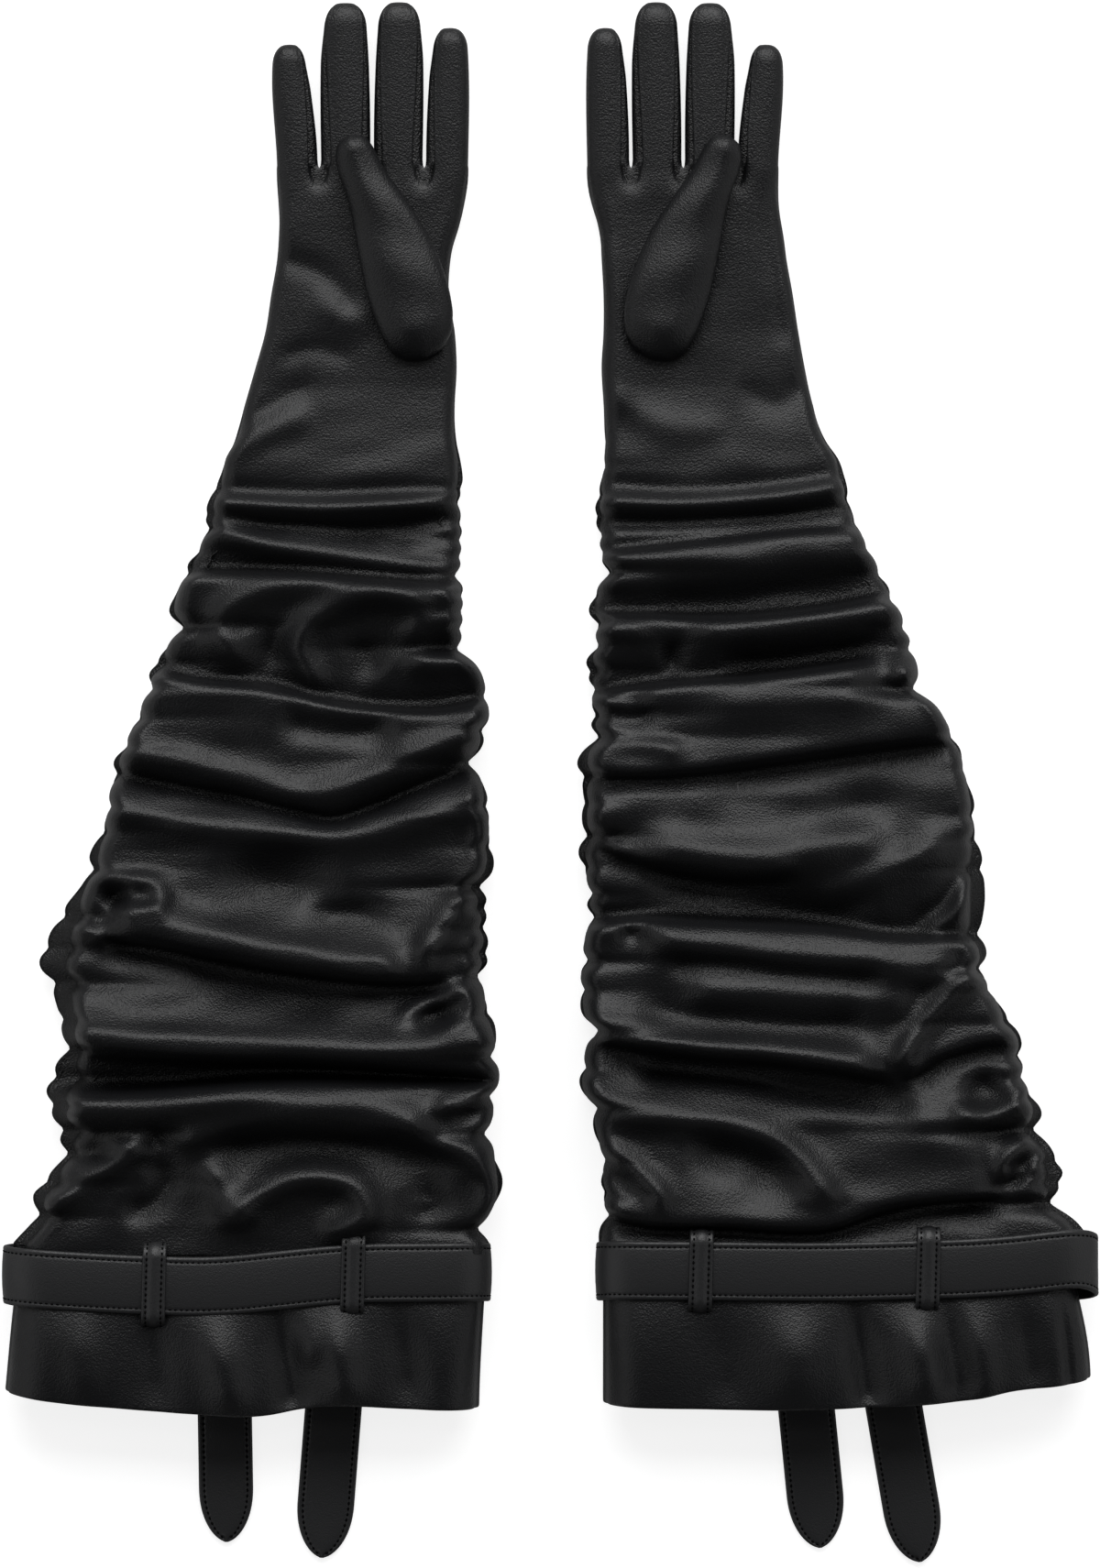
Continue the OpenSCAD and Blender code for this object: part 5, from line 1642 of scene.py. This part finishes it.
class GLOVES_PG_finish(bpy.types.PropertyGroup):
    """Colours and finishes of the leather, thread and elastic."""
    leather_colour: bpy.props.FloatVectorProperty(
        name="Glove leather", description="Colour of the gloves", subtype="COLOR", size=3,
        default=(0.0062, 0.0064, 0.0072), min=0, max=1)
    belt_colour: bpy.props.FloatVectorProperty(
        name="Belt leather", description="Colour of the belts and tails", subtype="COLOR", size=3,
        default=(0.017, 0.0173, 0.0184), min=0, max=1)
    facing_colour: bpy.props.FloatVectorProperty(
        name="Turned-in hem", description="Colour inside the cuff", subtype="COLOR", size=3,
        default=(0.008, 0.008, 0.0085), min=0, max=1)
    thread_colour: bpy.props.FloatVectorProperty(
        name="Thread", description="Colour of the stitching", subtype="COLOR", size=3,
        default=(0.002, 0.002, 0.0022), min=0, max=1)
    elastic_colour: bpy.props.FloatVectorProperty(
        name="Elastic", description="Colour of the tapes in the side seams", subtype="COLOR", size=3,
        default=(0.02, 0.02, 0.021), min=0, max=1)
    floor_colour: bpy.props.FloatVectorProperty(
        name="Floor", description="Colour of the floor", subtype="COLOR", size=3,
        default=(0.5, 0.5, 0.5), min=0, max=1)
    leather_roughness: bpy.props.FloatProperty(
        name="Leather roughness", description="0 is patent, 1 is matt", default=0.38, min=0.1, max=1.0,
        subtype="FACTOR")
    grain_size: bpy.props.FloatProperty(
        name="Grain size", description="Width of one pebble of the leather's grain, in millimetres",
        default=0.9, min=0.3, max=3.0)


class GLOVES_PG_stage(bpy.types.PropertyGroup):
    """Lights and camera."""
    key_power: bpy.props.FloatProperty(
        name="Key light", description="Power of the wide light beyond the fingertips", default=200.0,
        min=0.0, unit="POWER")
    top_power: bpy.props.FloatProperty(
        name="High light", description="Power of the small light overhead", default=3.0, min=0.0,
        unit="POWER")
    side_power: bpy.props.FloatProperty(
        name="Side lights", description="Power of the low light on each side", default=20.0,
        min=0.0, unit="POWER")
    fill_power: bpy.props.FloatProperty(
        name="Fill light", description="Power of the low light beyond the cuffs", default=1.0,
        min=0.0, unit="POWER")
    sky_strength: bpy.props.FloatProperty(
        name="Sky", description="Brightness of the plain white surroundings", default=0.04, min=0.0)
    camera_height: bpy.props.FloatProperty(
        name="Camera height", description="Height of the camera above the gloves", default=2.6, min=1.0,
        unit="LENGTH")


class GLOVES_OT_bodies(bpy.types.Operator):
    """Lay out both gathered sleeves and hands with their fingers"""
    bl_idname = "opera_gloves.bodies"
    bl_label = "Glove Bodies"

    def execute(self, context):
        make_bodies(context.scene.glove_finish, context.scene.glove_sizes)
        return {"FINISHED"}


class GLOVES_OT_thumbs(bpy.types.Operator):
    """Lay a puffed thumb over each palm"""
    bl_idname = "opera_gloves.thumbs"
    bl_label = "Thumbs"

    def execute(self, context):
        make_thumbs(context.scene.glove_finish)
        return {"FINISHED"}


class GLOVES_OT_cuffs(bpy.types.Operator):
    """Build both flared cuffs with their turned-in hems"""
    bl_idname = "opera_gloves.cuffs"
    bl_label = "Cuffs"

    def execute(self, context):
        make_cuffs(context.scene.glove_finish)
        return {"FINISHED"}


class GLOVES_OT_belts(bpy.types.Operator):
    """Wrap a stitched belt round each cuff, through its loops"""
    bl_idname = "opera_gloves.belts"
    bl_label = "Belts and Loops"

    def execute(self, context):
        make_belts(context.scene.glove_finish, context.scene.glove_sizes)
        return {"FINISHED"}


class GLOVES_OT_knots(bpy.types.Operator):
    """Wrap the belt's knot behind each cuff"""
    bl_idname = "opera_gloves.knots"
    bl_label = "Knots"

    def execute(self, context):
        make_knots(context.scene.glove_finish)
        return {"FINISHED"}


class GLOVES_OT_tails(bpy.types.Operator):
    """Lay the four loose belt ends below the hems"""
    bl_idname = "opera_gloves.tails"
    bl_label = "Belt Tails"

    def execute(self, context):
        make_tails(context.scene.glove_finish, context.scene.glove_sizes)
        return {"FINISHED"}


class GLOVES_OT_elastics(bpy.types.Operator):
    """Run the crimped elastic tapes inside the side seams"""
    bl_idname = "opera_gloves.elastics"
    bl_label = "Elastic Tapes"

    def execute(self, context):
        make_elastics(context.scene.glove_finish)
        return {"FINISHED"}


class GLOVES_OT_stage(bpy.types.Operator):
    """Set up the floor, the lights and the camera"""
    bl_idname = "opera_gloves.stage"
    bl_label = "Stage"

    def execute(self, context):
        make_stage(context.scene.glove_finish, context.scene.glove_stage)
        return {"FINISHED"}


OPERATORS = (GLOVES_OT_bodies, GLOVES_OT_thumbs, GLOVES_OT_cuffs, GLOVES_OT_belts, GLOVES_OT_knots,
             GLOVES_OT_tails, GLOVES_OT_elastics, GLOVES_OT_stage)


class GLOVES_PT_panel(bpy.types.Panel):
    """Lists the gloves' settings and building steps"""
    bl_label = "Opera Gloves"
    bl_idname = "GLOVES_PT_panel"
    bl_space_type = "VIEW_3D"
    bl_region_type = "UI"
    bl_category = "Gloves"

    def draw(self, context):
        layout = self.layout
        for group in (context.scene.glove_sizes, context.scene.glove_finish, context.scene.glove_stage):
            box = layout.box()
            for key in group.__annotations__:
                box.prop(group, key)
        for operator in OPERATORS:
            layout.operator(operator.bl_idname)


CLASSES = (GLOVES_PG_sizes, GLOVES_PG_finish, GLOVES_PG_stage, *OPERATORS, GLOVES_PT_panel)


def register():
    """Registers the settings, operators and panel."""
    for cls in CLASSES:
        bpy.utils.register_class(cls)
    bpy.types.Scene.glove_sizes = bpy.props.PointerProperty(type=GLOVES_PG_sizes)
    bpy.types.Scene.glove_finish = bpy.props.PointerProperty(type=GLOVES_PG_finish)
    bpy.types.Scene.glove_stage = bpy.props.PointerProperty(type=GLOVES_PG_stage)


def unregister():
    """Removes what register added."""
    for name in ("glove_sizes", "glove_finish", "glove_stage"):
        delattr(bpy.types.Scene, name)
    for cls in reversed(CLASSES):
        bpy.utils.unregister_class(cls)


def main():
    """Builds the whole pair."""
    register()
    for operator in OPERATORS:
        group, name = operator.bl_idname.split(".")
        getattr(getattr(bpy.ops, group), name)()


if __name__ == "__main__":
    main()
